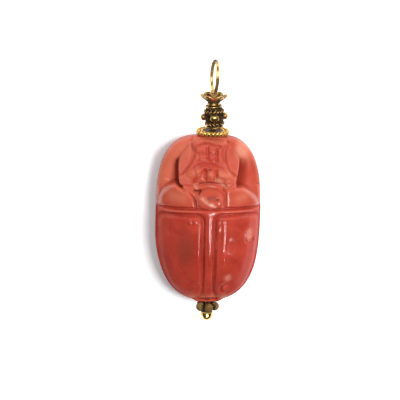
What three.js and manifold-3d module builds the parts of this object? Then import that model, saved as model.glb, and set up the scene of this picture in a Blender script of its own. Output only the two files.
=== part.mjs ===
// Scarab pendant: a carved coral beetle lying on its flat base, strung lengthwise on a gold head pin
// between small gold findings, with a ring at the head end to hang it by.
// Millimetres, +Z up. The base rests on Z = 0 and the beetle's head points along +Y.

import * as THREE from "three";
import Module from "manifold-3d";
import * as BufferGeometryUtils from "three/addons/utils/BufferGeometryUtils.js";

const wasm = await Module();
wasm.setup();

// Driving dimensions of the beetle
const HALF_WIDTH = 10.0;
const HALF_LENGTH = 16.35;
const OUTLINE_POWER_HEAD = 3.12;
const OUTLINE_POWER_TAIL = 2.6;
const WIDEST_HEIGHT = 3.1;
const RIM_HEIGHT = 4.3;
const TOP_HEIGHT = 10.4;

// The whole beetle bulges a trace to the left behind its middle
const SWAY = 0.12;
const SWAY_Y = -4.5;
const SWAY_LENGTH = 4.5;

// Wing cases: one low dome over the body, parted by grooves, with a faint crest along the right one
const DOME_HALF_WIDTH = 9.6;
const DOME_CENTRE_Y = 2.0;
const DOME_TO_TAIL = 17.85;
const DOME_TO_HEAD = 12.2;
const DOME_POWER = 2.75;
const DOME_FULLNESS = 2.4;
const DOME_EDGE = 0.6;
const RIDGE_HALF_WIDTH = 0.9;
const RIDGE_ROUND = 0.3;
const RIDGE_OUTER = 2.2;
const GROOVE_CENTRE = 1.12;
const GROOVE_WIDTH = 0.36;
const GROOVE_DEPTH = 0.55;
const GROOVE_END = { from: 1.02, to: 0.97 };
const CORNER_RADIUS = 1.6;
const CREST_X = 3.0;
const CREST_WIDTH = 0.6;
const CREST_HEIGHT = 0.17;
const CREST_MARGIN = 1.2;
const BAR_CENTRE_Y = 2.9;
const BAR_HALF_WIDTH = 0.5;
const BAR_SAG = 0.5;
const BAR_GROOVE_WIDTH = 0.2;
const BAR_GROOVE_DEPTH = 0.55;
const SIDE_REACH = 8.3;

// Thorax: a leaf-shaped lobe on each side of a rounded shield. The left lobe is fuller than the
// right one: how far it rises, how square and how round its edge is, and how it dips by the head
const LOBE_LEFT = { rise: 4.65, power: 6.0, roundness: 0.6, dip: 0.9 };
const LOBE_RIGHT = { rise: 4.75, power: 3.4, roundness: 0.75, dip: 0.45 };
const LOBE_DIP_FROM_X = 6.6;
const LOBE_DIP_TO_X = 5.0;
const LOBE_INNER_X = 2.75;
const LOBE_HOLLOW = 0.29;
const LOBE_HOLLOW_FROM_Y = 4.3;
const LOBE_HOLLOW_POWER = 1.9;
const LOBE_TIP_X = 9.45;
const LOBE_BEND_X = 6.0;
const LOBE_BASE_Y = 3.2;
const LOBE_FOOT_RISE = 0.6;
const LOBE_FOOT_GAP = 0.1;
const LOBE_HEIGHT = 9.75;
const LOBE_FALL = 4.4;
const LOBE_FALL_POWER = 2.6;
const LOBE_EDGE_DROP = 0.45;
const LOBE_EDGE_WIDTH = 0.7;
const SHIELD_CENTRE_Y = 5.3;
const SHIELD_HALF_WIDTH = 2.5;
const SHIELD_HALF_LENGTH = 2.0;
const SHIELD_SWELL = 0.45;
const SHIELD_POWER = 4;
const SHIELD_FOOT = 0.3;
const SHIELD_EDGE = { from: 0.8, to: 1.15 };
const NECK_HEIGHT = 8.9;

// Head plate: a hexagon with steep walls, cheeks parted from the middle by curved grooves
const HEAD_FRONT_Y = 16.0;
const HEAD_FRONT_HALF = 3.2;
const HEAD_WIDE_Y = 12.15;
const HEAD_WIDE_HALF = 5.75;
const HEAD_BACK_Y = 7.75;
const HEAD_BACK_HALF = 5.3;
const HEAD_BACK_HEIGHT = 8.9;
const HEAD_SLOPE = 0.32;
const HEAD_CROWN = 0.012;
const FACET_START_Y = 14.9;
const FACET_DEPTH = 0.8;
const CHEEK_LEFT = { nearestX: 2.95, nearestY: 14.0, bend: 0.124 };
const CHEEK_RIGHT = { nearestX: 2.72, nearestY: 13.1, bend: 0.145 };
const CHEEK_MARGIN = 0.25;
const CHEEK_GROOVE_WIDTH = 0.38;
const CHEEK_GROOVE_DEPTH = 0.42;
const CHEEK_DROP = 0.6;
const ARC_END = 0.3;
const MIDDLE_ARC = { y: 11.8, bend: 0.1, width: 0.4, depth: 0.28, reach: 3.3 };
const FRONT_ARC = { y: 15.45, bend: 0.12, width: 0.26, depth: 0.26, reach: 2.35 };
const BROW_CENTRE_X = 0.3;
const BROW_CENTRE_Y = 10.1;
const BROW_HALF_WIDTH = 4.2;
const BROW_HALF_LENGTH = 1.9;
const BROW_SWELL = 0.7;
const BROW_FULLNESS = 1.2;
const BROW_FLAT_TO = 0.6;
const FLUTE_XS = [-0.83, 1.13];
const FLUTE_WIDTH = 0.3;
const FLUTE_HALF_LENGTH = 0.9;
const FLUTE_DEPTH = 0.34;
const STROKE_XS = [-0.38, 1.36];
const STROKE_DEPTH = 0.24;
const STROKE_WIDTH = 0.2;
const STROKE_CENTRE_Y = 13.4;
const STROKE_HALF_LENGTH = 1.1;
const STROKE_REACH = 1.9;
const STROKE_END = 0.2;
const CRACK_Y = 8.15;
const CRACK_HALF_LENGTH = 2.7;
const CRACK_WIDTH = 0.22;
const CRACK_DEPTH = 0.5;
const CRACK_END = 0.5;

// Front legs: a lower rounded band around the head, squarer in front than at the sides, with a
// recess beside the head's walls
const BAND_SIDE = { height: 5.5, roundFrom: 0.72, fullness: 2.2 };
const BAND_FRONT = { height: 6.0, roundFrom: 0.8, fullness: 5.0 };
const BAND_SIDE_Y = 9.5;
const BAND_FRONT_Y = 15.0;
const RECESS_LEFT = { depth: 1.4, width: 0.75, endY: 12.9 };
const RECESS_RIGHT = { depth: 1.4, width: 1.05, endY: 12.8 };
const RECESS_FADE = 2.5;
const RECESS_CENTRE = 0.2;
const HEAD_OVERLAP = { x: 0.3, fromY: 8.1, toY: 7.9 };

// Side walls: drawn in below the widest line, a line round the base, legs in low relief above it
const BASE_HEIGHT = 1.2;
const BASE_INSET = 0.9;
const BASE_INSET_POWER = 1.7;
const BASE_LINE_DEPTH = 0.25;
const BASE_LINE_WIDTH = 0.18;
const LEG_RELIEF = 0.3;
const LEG_PITCH = 3.1;
const LEG_GAP_WIDTH = 0.42;
const LEG_SLANT = 0.9;
const LEG_TURN_Y = -2;
const WALL_LEVELS = [0, 0.6, BASE_HEIGHT, 1.5, 2.3, WIDEST_HEIGHT, 12];
const WALL_STEPS = 60;

// Tail: the rim is thickened over the hole and a shallow arch is cut round the hole's end
const TAIL_X = 0.1;
const TAIL_BOSS = 1.05;
const TAIL_BOSS_FROM = 3.4;
const TAIL_BOSS_TO = 1.5;
const TAIL_RECESS_HALF_WIDTH = 2.15;
const TAIL_RECESS_LENGTH = 1.25;
const TAIL_RECESS_DEPTH = 0.3;
const TAIL_RECESS_FLAT_TO = 0.75;
const RIM_FALL = 0.9;
const RIM_FALL_FROM = 0.95;
const RIM_FALL_AT_TAIL = 0.5;

// Grid lines of the carved top: each stretch ends at a place and is cut into a number of steps
const BEND_FROM = 0.55;
const BEND_TO = 0.93;
const BODY_COLUMNS = [[0.8, 1], [1.5, 3], [3.0, 2], [8.0, 3], [8.9, 1], [9.25, 1], [10.15, 2]];
const BODY_BACK_Y = -16.75;
const BODY_ROWS = [
  [-15.4, 2], [-14.6, 2], [-11, 2], [0, 5], [2.1, 4], [2.9, 3], [3.2, 1], [3.8, 2], [7.6, 4], [8.2, 2],
  [15, 4], [16.75, 2],
];
const BODY_FLOOR = -1;
const SAG_BACK_Y = -7;
const SAG_FRONT_Y = 8.2;
const HEAD_COLUMNS = [[-0.6, 2], [-0.4, 2], [0.4, 10], [0.6, 2], [1, 2]];
const HEAD_ROWS = [[8.5, 3], [11.2, 4], [12.0, 2], [14.6, 5], [HEAD_FRONT_Y, 3]];
const HEAD_GROOVE_SHARE = 0.5;
const LOBE_ROWS = [[0.3, 2], [0.7, 2], [1, 4]];
const BLOCK_FLOOR = 2;

// Lengthwise hole and the pin's slight lean in it
const BORE_RADIUS = 0.55;
const BORE_MARGIN = 4;
const AXIS_HEIGHT = 4.0;
const PIN_LEAN = THREE.MathUtils.degToRad(-1.05);

// Findings, placed along the pin; s is the distance along the pin from the beetle's middle
const WIRE_RADIUS = 0.32;
const END_BALL_S = -18.2;
const END_BALL_LENGTH = 2.0;
const END_BALL_PROFILE = [[0, 0], [0.3, 0.14], [0.72, 0.5], [1.05, 0.98], [1.18, 1.42], [1.1, 1.75], [0.85, 1.96]];
const DAISY_GRANULE = 0.86;
const DAISY_COUNT = 5;
const DAISY_GAP = 0.02;
const DAISY_S = -17.3;
const DAISY_TURN = THREE.MathUtils.degToRad(10);
const DAISY_HUB_RADIUS = 0.95;
const DAISY_HUB_HOLE = 0.5;
const DAISY_HUB_HALF = 0.35;
const GRANULE_RING_S = 16.98;
const GRANULE_RING_PITCH = 2.72;
const GRANULE_RING_INNER = 2.05;
const GRANULE_RING_BALL = 0.44;
const GRANULE_RING_COUNT = 22;
const GRANULE_RING_LEAST = 0.55;
const BEAD_START_S = 17.74;
const BEAD_LENGTH = 4.35;
const BEAD_END_RADIUS = 1.45;
const BEAD_BELLY_RADIUS = 1.8;
const BEAD_HOLE_RADIUS = 0.78;
const BEAD_LIP = 0.2;
const BEAD_LIP_HALF = 0.2;
const BEAD_SHOULDER = { radius: 1.7, fromEnd: 0.9 };
const BEAD_BELLY_HALF = 0.6;
const BEAD_TILT = THREE.MathUtils.degToRad(4.5);
const BEAD_SHIFT_X = 0.2;
const BELT_COUNT = 4;
const BELT_PITCH = 2.02;
const BELT_GRANULE = 0.7;
const BELT_STRETCH = [0.8, 1.22, 0.96];
const ROPE_STRANDS = 12;
const ROPE_SWELL = 0.22;
const ROPE_RADIUS = 1.75;
const ROPE_WIRE = 0.2;
const ROPE_FROM_END = 1.0;
const COLLAR_RADIUS = 1.05;
const COLLAR_WIRE = 0.22;
const COLLAR_LENGTH = 0.52;
const FLOWER_START_S = 22.72;
const BOWL_PROFILE = [
  [0.5, 0], [1.15, 0], [1.35, 0.15], [1.62, 0.45], [1.85, 0.8],
  [1.68, 0.88], [1.4, 0.6], [1.1, 0.38], [0.5, 0.3], [0.5, 0],
];
const PETAL_COUNT = 6;
const PETAL_START = 1.25;
const PETAL_REACH = 2.6;
const PETAL_BASE = 0.38;
const PETAL_RISE = 0.9;
const PETAL_HALF_WIDTH = 0.82;
const PETAL_WIRE = 0.22;
const PETAL_SHEET = 0.1;
const PETAL_DISH = 0.12;
const PETAL_STEPS = 10;
const PETAL_TAPER = 0.15;
const PETAL_CURVE = 0.9;
const EYE_RADIUS = 0.68;
const EYE_WIRE = 0.2;
const EYE_S = 24.33;
const RING_RADIUS = 3.0;
const RING_WIRE = 0.33;
const RING_S = 27.3;
const RING_HEIGHT = 3.45;
const RING_LEAN = THREE.MathUtils.degToRad(8.1);
const RING_TURN = THREE.MathUtils.degToRad(-3.4);
const RING_SHIFT_X = 0.1;

// The whole pendant is centred on its own length
const PENDANT_MIDDLE_Y = (RING_S + RING_RADIUS + RING_WIRE + END_BALL_S - END_BALL_LENGTH) / 2;

function material(colour, roughness, metalness) {
  return new THREE.MeshStandardMaterial({ color: colour, roughness, metalness });
}

const coral = material(0xc8523f, 0.28, 0);
const brightGold = material(0xe0aa4a, 0.28, 1);
const oldGold = material(0x8a6a38, 0.42, 1);

// A closed surface as a solid that can be joined and cut, and back again
function toSolid(geometry) {
  const plain = geometry.clone();
  plain.deleteAttribute("normal");
  plain.deleteAttribute("uv");
  const merged = BufferGeometryUtils.mergeVertices(plain, 1e-5);
  return new wasm.Manifold(
    new wasm.Mesh({
      numProp: 3,
      vertProperties: new Float32Array(merged.attributes.position.array),
      triVerts: new Uint32Array(merged.index.array),
    }),
  );
}

function toGeometry(solid) {
  const mesh = solid.getMesh();
  const geometry = new THREE.BufferGeometry();
  geometry.setAttribute("position", new THREE.BufferAttribute(new Float32Array(mesh.vertProperties), 3));
  geometry.setIndex(new THREE.BufferAttribute(new Uint32Array(mesh.triVerts), 1));
  geometry.computeVertexNormals();
  return geometry;
}

function join(geometries) {
  return geometries.map(toSolid).reduce((whole, next) => whole.add(next));
}

// Goes smoothly from 0 at the first value to 1 at the second, whichever of them is larger
function smoothstep(from, to, value) {
  const t = THREE.MathUtils.clamp((value - from) / (to - from), 0, 1);
  return t * t * (3 - 2 * t);
}

function bump(distance, width) {
  return Math.exp(-((distance / width) ** 2));
}

// Outline of the beetle: a long rounded oval, squarer at the head
function outlinePower(y) {
  return y > 0 ? OUTLINE_POWER_HEAD : OUTLINE_POWER_TAIL;
}

function outlineReach(x, y) {
  const power = outlinePower(y);
  return (Math.abs(x / HALF_WIDTH) ** power + Math.abs(y / HALF_LENGTH) ** power) ** (1 / power);
}

function domeReach(x, y) {
  const along = (y - DOME_CENTRE_Y) / (y < DOME_CENTRE_Y ? DOME_TO_TAIL : DOME_TO_HEAD);
  return (Math.abs(x / DOME_HALF_WIDTH) ** DOME_POWER + Math.abs(along) ** DOME_POWER) ** (1 / DOME_POWER);
}

function domeHeight(x, y) {
  const reach = Math.min(domeReach(x, y), 1);
  return RIM_HEIGHT + (TOP_HEIGHT - RIM_HEIGHT) * (1 - reach ** DOME_FULLNESS) ** DOME_EDGE;
}

// The crossbar between thorax and wing cases sags a little towards the sides
function barCentre(x) {
  return BAR_CENTRE_Y - BAR_SAG * (x / SIDE_REACH) ** 2;
}

// Distance outside a wing case: negative on it, with round corners beside ridge and crossbar
function wingDistance(x, y) {
  const fromRidge = GROOVE_CENTRE - Math.abs(x) + CORNER_RADIUS;
  const fromBar = y - (barCentre(x) - BAR_HALF_WIDTH) + CORNER_RADIUS;
  const corner = Math.hypot(Math.max(fromRidge, 0), Math.max(fromBar, 0));
  const inner = Math.min(Math.max(fromRidge, fromBar), 0) + corner - CORNER_RADIUS;
  const outer = (domeReach(x, y) - 1) * DOME_HALF_WIDTH;
  const both = Math.hypot(Math.max(inner + CORNER_RADIUS, 0), Math.max(outer + CORNER_RADIUS, 0));
  return Math.min(Math.max(inner, outer) + CORNER_RADIUS, 0) + both - CORNER_RADIUS;
}

// Upper and lower edge of a thorax lobe
function lobeTop(x) {
  const shape = x < 0 ? LOBE_LEFT : LOBE_RIGHT;
  const share = Math.min(Math.abs(x) / LOBE_TIP_X, 1);
  const top = LOBE_BASE_Y + shape.rise * (1 - share ** shape.power) ** shape.roundness;
  return top - shape.dip * smoothstep(LOBE_DIP_FROM_X, LOBE_DIP_TO_X, Math.abs(x));
}

function lobeBottom(x) {
  const tip = Math.max(Math.abs(x) - SIDE_REACH, 0) / (LOBE_TIP_X - SIDE_REACH);
  return barCentre(x) + BAR_HALF_WIDTH + LOBE_FOOT_GAP + LOBE_FOOT_RISE * tip ** 2;
}

function lobeHeight(x, y) {
  const fromEdge = Math.min(lobeTop(x) - y, y - lobeBottom(x));
  const height = LOBE_HEIGHT - LOBE_FALL * (Math.abs(x) / LOBE_TIP_X) ** LOBE_FALL_POWER;
  return height - LOBE_EDGE_DROP * smoothstep(LOBE_EDGE_WIDTH, 0, fromEdge);
}

// Half the head's width at a distance along the beetle
function headHalf(y) {
  const ahead = (y - HEAD_WIDE_Y) / (HEAD_FRONT_Y - HEAD_WIDE_Y);
  const behind = (HEAD_WIDE_Y - y) / (HEAD_WIDE_Y - HEAD_BACK_Y);
  return y > HEAD_WIDE_Y
    ? HEAD_WIDE_HALF + (HEAD_FRONT_HALF - HEAD_WIDE_HALF) * ahead
    : HEAD_WIDE_HALF + (HEAD_BACK_HALF - HEAD_WIDE_HALF) * behind;
}

// How far out the curved groove between the head's middle and its cheek runs
function cheekGrooveX(y, side) {
  const shape = side < 0 ? CHEEK_LEFT : CHEEK_RIGHT;
  const curved = shape.nearestX + shape.bend * (y - shape.nearestY) ** 2;
  return Math.min(curved, headHalf(y) - CHEEK_MARGIN);
}

// Depth of a curved stroke across the head, bent back towards its ends
function arcDepth(arc, x, y) {
  const beside = y - (arc.y - arc.bend * x * x);
  return arc.depth * bump(beside, arc.width) * smoothstep(ARC_END, -ARC_END, Math.abs(x) - arc.reach);
}

// A fluted swelling behind the middle arc that drops to the crack
function browSwell(x, y) {
  const along = (y - BROW_CENTRE_Y) / BROW_HALF_LENGTH;
  const across = Math.abs(x - BROW_CENTRE_X) / BROW_HALF_WIDTH;
  return BROW_SWELL * Math.max(1 - along ** 2, 0) ** BROW_FULLNESS * smoothstep(1, BROW_FLAT_TO, across);
}

function headHeight(x, y) {
  const across = Math.abs(x);
  let height = HEAD_BACK_HEIGHT - HEAD_SLOPE * (y - HEAD_BACK_Y) - HEAD_CROWN * x * x;
  height -= FACET_DEPTH * smoothstep(FACET_START_Y, HEAD_FRONT_Y, y);
  const grooveX = cheekGrooveX(y, x);
  height -= CHEEK_GROOVE_DEPTH * bump(across - grooveX, CHEEK_GROOVE_WIDTH);
  height -= CHEEK_DROP * smoothstep(grooveX, HEAD_WIDE_HALF + CHEEK_MARGIN, across);
  height += browSwell(x, y) - arcDepth(MIDDLE_ARC, x, y) - arcDepth(FRONT_ARC, x, y);
  for (const fluteX of FLUTE_XS) {
    height -= FLUTE_DEPTH * bump(x - fluteX, FLUTE_WIDTH) * bump(y - BROW_CENTRE_Y, FLUTE_HALF_LENGTH);
  }
  const pastStroke = Math.abs(y - STROKE_CENTRE_Y) - STROKE_HALF_LENGTH;
  for (const strokeX of STROKE_XS) {
    height -= STROKE_DEPTH * bump(x - strokeX, STROKE_WIDTH) * smoothstep(STROKE_END, -STROKE_END, pastStroke);
  }
  const pastCross = across - STROKE_REACH;
  height -= STROKE_DEPTH * bump(y - STROKE_CENTRE_Y, STROKE_WIDTH) * smoothstep(STROKE_END, -STROKE_END, pastCross);
  const pastCrack = Math.abs(x - BROW_CENTRE_X) - CRACK_HALF_LENGTH;
  return height - CRACK_DEPTH * bump(y - CRACK_Y, CRACK_WIDTH) * smoothstep(CRACK_END, -CRACK_END, pastCrack);
}

// The front legs' band falls off in a round curve to the widest line, and is sunk where it runs
// along the head's walls
function legBandHeight(x, y) {
  const front = smoothstep(BAND_SIDE_Y, BAND_FRONT_Y, y);
  const top = THREE.MathUtils.lerp(BAND_SIDE.height, BAND_FRONT.height, front);
  const roundFrom = THREE.MathUtils.lerp(BAND_SIDE.roundFrom, BAND_FRONT.roundFrom, front);
  const fullness = THREE.MathUtils.lerp(BAND_SIDE.fullness, BAND_FRONT.fullness, front);
  const out = THREE.MathUtils.clamp((outlineReach(x, y) - roundFrom) / (1 - roundFrom), 0, 1);
  const band = WIDEST_HEIGHT + (top - WIDEST_HEIGHT) * (1 - out ** fullness) ** (1 / fullness);
  const recess = x < 0 ? RECESS_LEFT : RECESS_RIGHT;
  const fromHead = Math.max(Math.abs(x) - headHalf(y), 0);
  const sunk = recess.depth * bump(fromHead - RECESS_CENTRE, recess.width);
  return band - sunk * smoothstep(recess.endY, recess.endY - RECESS_FADE, y);
}

// A narrow ledge round the wing cases, thickened over the hole at the tail
function rimHeight(x, y) {
  const atTail = y < 0 ? smoothstep(TAIL_BOSS_FROM, TAIL_BOSS_TO, Math.abs(x - TAIL_X)) : 0;
  const fall = RIM_FALL * smoothstep(RIM_FALL_FROM, 1, outlineReach(x, y)) * (1 - RIM_FALL_AT_TAIL * atTail);
  return RIM_HEIGHT + TAIL_BOSS * atTail - fall;
}

// Height of the beetle's body without the head plate and the thorax lobes
function bodyHeight(x, y) {
  const across = Math.abs(x);
  const barTop = barCentre(x) + BAR_HALF_WIDTH;
  const fromWing = wingDistance(x, y);
  let body = domeHeight(x, y);

  // the crest, the grooves round the wing cases, the round ridge between them and the crossbar
  body += CREST_HEIGHT * bump(x - CREST_X, CREST_WIDTH) * smoothstep(0, -CREST_MARGIN, fromWing);
  const onDome = smoothstep(GROOVE_END.from, GROOVE_END.to, domeReach(x, y));
  body -= GROOVE_DEPTH * bump(fromWing, GROOVE_WIDTH) * onDome;
  if (y < BAR_CENTRE_Y) {
    const onRidge = smoothstep(RIDGE_OUTER, GROOVE_CENTRE, across);
    body -= RIDGE_ROUND * smoothstep(0, RIDGE_HALF_WIDTH, across) * onRidge;
  }
  body -= BAR_GROOVE_DEPTH * bump(y - barTop, BAR_GROOVE_WIDTH);

  // the shield between the lobes, and the neck in front of it
  const shield = Math.hypot(x / SHIELD_HALF_WIDTH, (y - SHIELD_CENTRE_Y) / SHIELD_HALF_LENGTH);
  const neck = smoothstep(SHIELD_CENTRE_Y, HEAD_BACK_Y, y);
  if (y > barTop) {
    body = THREE.MathUtils.lerp(body, NECK_HEIGHT, neck);
    body += SHIELD_SWELL * Math.sqrt(Math.max(1 - shield ** SHIELD_POWER, 0));
    body -= SHIELD_FOOT * smoothstep(SHIELD_EDGE.from, SHIELD_EDGE.to, shield);
  }

  // the legs' band beside head and thorax
  const besideHead = smoothstep(HEAD_BACK_HALF, HEAD_BACK_HALF - HEAD_OVERLAP.x, across);
  const behindHead = smoothstep(HEAD_OVERLAP.fromY, HEAD_OVERLAP.toY, y);
  const onBody = y < barTop ? 1 : besideHead * behindHead;
  const band = Math.min(legBandHeight(x, y), Math.max(body, RIM_HEIGHT));
  let height = THREE.MathUtils.lerp(band, body, onBody);

  // the rim outside the wing cases, and the arch round the hole at the tail
  if (domeReach(x, y) > 1 && y < barTop) {
    height = rimHeight(x, y);
  }
  const tail = Math.hypot((x - TAIL_X) / TAIL_RECESS_HALF_WIDTH, (y + HALF_LENGTH) / TAIL_RECESS_LENGTH);
  return height - TAIL_RECESS_DEPTH * smoothstep(1, TAIL_RECESS_FLAT_TO, tail);
}

// Evenly spaced values in one or more stretches, each given as its end and its number of steps
function gridLines(start, stretches) {
  const lines = [start];
  for (const [end, count] of stretches) {
    const from = lines[lines.length - 1];
    for (let i = 1; i <= count; i += 1) {
      lines.push(from + ((end - from) * i) / count);
    }
  }
  return lines;
}

// A closed block over a bent grid: flat underneath, carved on top
function carvedBlock(columns, rows, placeOf, heightOf, floor) {
  const wide = columns.length;
  const long = rows.length;
  const places = [];
  for (const carved of [false, true]) {
    for (const row of rows) {
      for (const column of columns) {
        const [x, y] = placeOf(column, row);
        places.push(x, y, carved ? heightOf(x, y) : floor);
      }
    }
  }
  const heightAt = (index) => places[index * 3 + 2];
  const at = (level, row, column) => (level * long + row) * wide + column;
  const faces = [];
  for (let row = 0; row < long - 1; row += 1) {
    for (let column = 0; column < wide - 1; column += 1) {
      const [a, b] = [at(1, row, column), at(1, row, column + 1)];
      const [c, d] = [at(1, row + 1, column + 1), at(1, row + 1, column)];
      const flatter = Math.abs(heightAt(a) - heightAt(c)) < Math.abs(heightAt(b) - heightAt(d));
      faces.push(...(flatter ? [a, b, c, a, c, d] : [a, b, d, b, c, d]));
      const under = wide * long;
      faces.push(a - under, c - under, b - under, a - under, d - under, c - under);
    }
  }
  const wall = (row0, column0, row1, column1) => {
    const [low0, low1] = [at(0, row0, column0), at(0, row1, column1)];
    const [high0, high1] = [at(1, row0, column0), at(1, row1, column1)];
    faces.push(low0, low1, high1, low0, high1, high0);
  };
  for (let column = 0; column < wide - 1; column += 1) {
    wall(0, column, 0, column + 1);
    wall(long - 1, column + 1, long - 1, column);
  }
  for (let row = 0; row < long - 1; row += 1) {
    wall(row + 1, 0, row, 0);
    wall(row, wide - 1, row + 1, wide - 1);
  }
  const geometry = new THREE.BufferGeometry();
  geometry.setAttribute("position", new THREE.Float32BufferAttribute(places, 3));
  geometry.setIndex(faces);
  return toSolid(geometry);
}

// Grid lines run straight in the middle and bend into the oval near the outline
function bendToOval(x, y) {
  const s = x / HALF_WIDTH;
  const t = y / HALF_LENGTH;
  const square = Math.max(Math.abs(s), Math.abs(t), 1e-6);
  const weight = smoothstep(BEND_FROM, BEND_TO, square);
  const factor = 1 + weight * (square / Math.max(outlineReach(x, y), 1e-6) - 1);
  return [x * factor, y * factor];
}

function bodyBlock() {
  const right = gridLines(0, BODY_COLUMNS);
  const columns = [...right.slice(1).reverse().map((x) => -x), ...right];
  const rows = gridLines(BODY_BACK_Y, BODY_ROWS);
  const placeOf = (column, row) => {
    const sag = smoothstep(SAG_BACK_Y, BAR_CENTRE_Y, row) * smoothstep(SAG_FRONT_Y, BAR_CENTRE_Y, row);
    return bendToOval(column, row - (BAR_CENTRE_Y - barCentre(column)) * sag);
  };
  return carvedBlock(columns, rows, placeOf, bodyHeight, BODY_FLOOR);
}

function headBlock() {
  const columns = gridLines(-1, HEAD_COLUMNS);
  const rows = gridLines(HEAD_BACK_Y, HEAD_ROWS);
  // the middle columns bend along the cheek grooves, the outer ones along the head's sides
  const placeOf = (column, row) => {
    const share = Math.abs(column);
    const groove = cheekGrooveX(row, column);
    const past = (share - HEAD_GROOVE_SHARE) / (1 - HEAD_GROOVE_SHARE);
    const across = past < 0
      ? (share / HEAD_GROOVE_SHARE) * groove
      : groove + past * (headHalf(row) - groove);
    return [Math.sign(column) * across, row];
  };
  return carvedBlock(columns, rows, placeOf, headHeight, BLOCK_FLOOR);
}

function lobeBlock(side) {
  const columns = side > 0
    ? gridLines(LOBE_INNER_X, [[LOBE_BEND_X, 3], [LOBE_TIP_X, 6]])
    : gridLines(-LOBE_TIP_X, [[-LOBE_BEND_X, 6], [-LOBE_INNER_X, 3]]);
  const rows = gridLines(0, LOBE_ROWS);
  // the left lobe is hollowed along its inner side
  const placeOf = (column, row) => {
    const y = THREE.MathUtils.lerp(lobeBottom(column), lobeTop(column), row);
    const past = (LOBE_BEND_X - Math.abs(column)) / (LOBE_BEND_X - LOBE_INNER_X);
    const inward = THREE.MathUtils.clamp(past, 0, 1);
    const hollow = side < 0 ? LOBE_HOLLOW * Math.max(y - LOBE_HOLLOW_FROM_Y, 0) ** LOBE_HOLLOW_POWER : 0;
    return [column - hollow * inward, y];
  };
  return carvedBlock(columns, rows, placeOf, lobeHeight, BLOCK_FLOOR);
}

// How far the side wall stands back at a height
function sideInset(angle, z) {
  const below = Math.max(1 - z / WIDEST_HEIGHT, 0);
  let inset = BASE_INSET * below ** BASE_INSET_POWER + BASE_LINE_DEPTH * bump(z - BASE_HEIGHT, BASE_LINE_WIDTH);
  if (z > BASE_HEIGHT && z < WIDEST_HEIGHT) {
    const slant = Math.abs(Math.sin(angle) * HALF_LENGTH - LEG_TURN_Y) - LEG_SLANT * z;
    const turn = THREE.MathUtils.euclideanModulo(slant, LEG_PITCH);
    inset += LEG_RELIEF * bump(turn - LEG_PITCH / 2, LEG_GAP_WIDTH);
  }
  return inset;
}

// The beetle's outline carried up from the base, with its side walls
function outlineBody() {
  const places = [];
  for (const z of WALL_LEVELS) {
    for (let i = 0; i < WALL_STEPS; i += 1) {
      const angle = (i / WALL_STEPS) * Math.PI * 2;
      const power = outlinePower(Math.sin(angle));
      const cx = Math.sign(Math.cos(angle)) * Math.abs(Math.cos(angle)) ** (2 / power);
      const cy = Math.sign(Math.sin(angle)) * Math.abs(Math.sin(angle)) ** (2 / power);
      const inset = sideInset(angle, z);
      places.push(cx * (HALF_WIDTH - inset), cy * (HALF_LENGTH - inset), z);
    }
  }
  const faces = [];
  const lastLevel = WALL_LEVELS.length - 1;
  for (let level = 0; level < lastLevel; level += 1) {
    for (let i = 0; i < WALL_STEPS; i += 1) {
      const next = (i + 1) % WALL_STEPS;
      const [a, b] = [level * WALL_STEPS + i, level * WALL_STEPS + next];
      faces.push(a, b, b + WALL_STEPS, a, b + WALL_STEPS, a + WALL_STEPS);
    }
  }
  const bottomCentre = places.length / 3;
  places.push(0, 0, WALL_LEVELS[0], 0, 0, WALL_LEVELS[lastLevel]);
  for (let i = 0; i < WALL_STEPS; i += 1) {
    const next = (i + 1) % WALL_STEPS;
    faces.push(bottomCentre, next, i);
    faces.push(bottomCentre + 1, lastLevel * WALL_STEPS + i, lastLevel * WALL_STEPS + next);
  }
  const geometry = new THREE.BufferGeometry();
  geometry.setAttribute("position", new THREE.Float32BufferAttribute(places, 3));
  geometry.setIndex(faces);
  return toSolid(geometry);
}

// A pin-axis solid, made about local Z and laid along the leaning pin
const alongPin = new THREE.Matrix4()
  .makeTranslation(0, -HALF_LENGTH, AXIS_HEIGHT)
  .multiply(new THREE.Matrix4().makeRotationZ(PIN_LEAN))
  .multiply(new THREE.Matrix4().makeTranslation(0, HALF_LENGTH, 0))
  .multiply(new THREE.Matrix4().makeRotationX(-Math.PI / 2));

function boreTool() {
  const tool = new THREE.CylinderGeometry(BORE_RADIUS, BORE_RADIUS, HALF_LENGTH * 2 + BORE_MARGIN, 12);
  tool.rotateX(Math.PI / 2);
  tool.applyMatrix4(alongPin);
  return toSolid(tool);
}

function swayed(solid) {
  return solid.warp((place) => {
    place[0] -= SWAY * bump(place[1] - SWAY_Y, SWAY_LENGTH);
  });
}

function scarabGeometry() {
  const carved = bodyBlock().add(headBlock()).add(lobeBlock(-1)).add(lobeBlock(1));
  return toGeometry(swayed(carved.intersect(outlineBody())).subtract(boreTool()));
}

// Findings. Each is made about local Z, with local Z as the distance s along the pin,
// local X to the right and local Y down towards the table.

function latheAlongPin(profile, segments) {
  const points = profile.map(([radius, s]) => new THREE.Vector2(radius, s));
  const geometry = new THREE.LatheGeometry(points, segments);
  geometry.rotateX(Math.PI / 2);
  return geometry;
}

function ball(radius, x, y, s, around, levels) {
  return new THREE.SphereGeometry(radius, around, levels).translate(x, y, s);
}

// A twisted two-strand wire ring: its section turns as it goes round
function ropeRing(radius, wire, s) {
  const around = ROPE_STRANDS * 2;
  const geometry = new THREE.TorusGeometry(radius, wire, 4, around);
  const places = geometry.attributes.position;
  for (let i = 0; i < places.count; i += 1) {
    const angle = Math.atan2(places.getY(i), places.getX(i));
    const fromAxis = Math.hypot(places.getX(i), places.getY(i));
    const section = Math.atan2(places.getZ(i), fromAxis - radius);
    const swell = 1 + ROPE_SWELL * Math.cos(2 * section + ROPE_STRANDS * angle);
    const out = radius + wire * swell * Math.cos(section);
    places.setXYZ(i, out * Math.cos(angle), out * Math.sin(angle), wire * swell * Math.sin(section));
  }
  return geometry.translate(0, 0, s);
}

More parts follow.
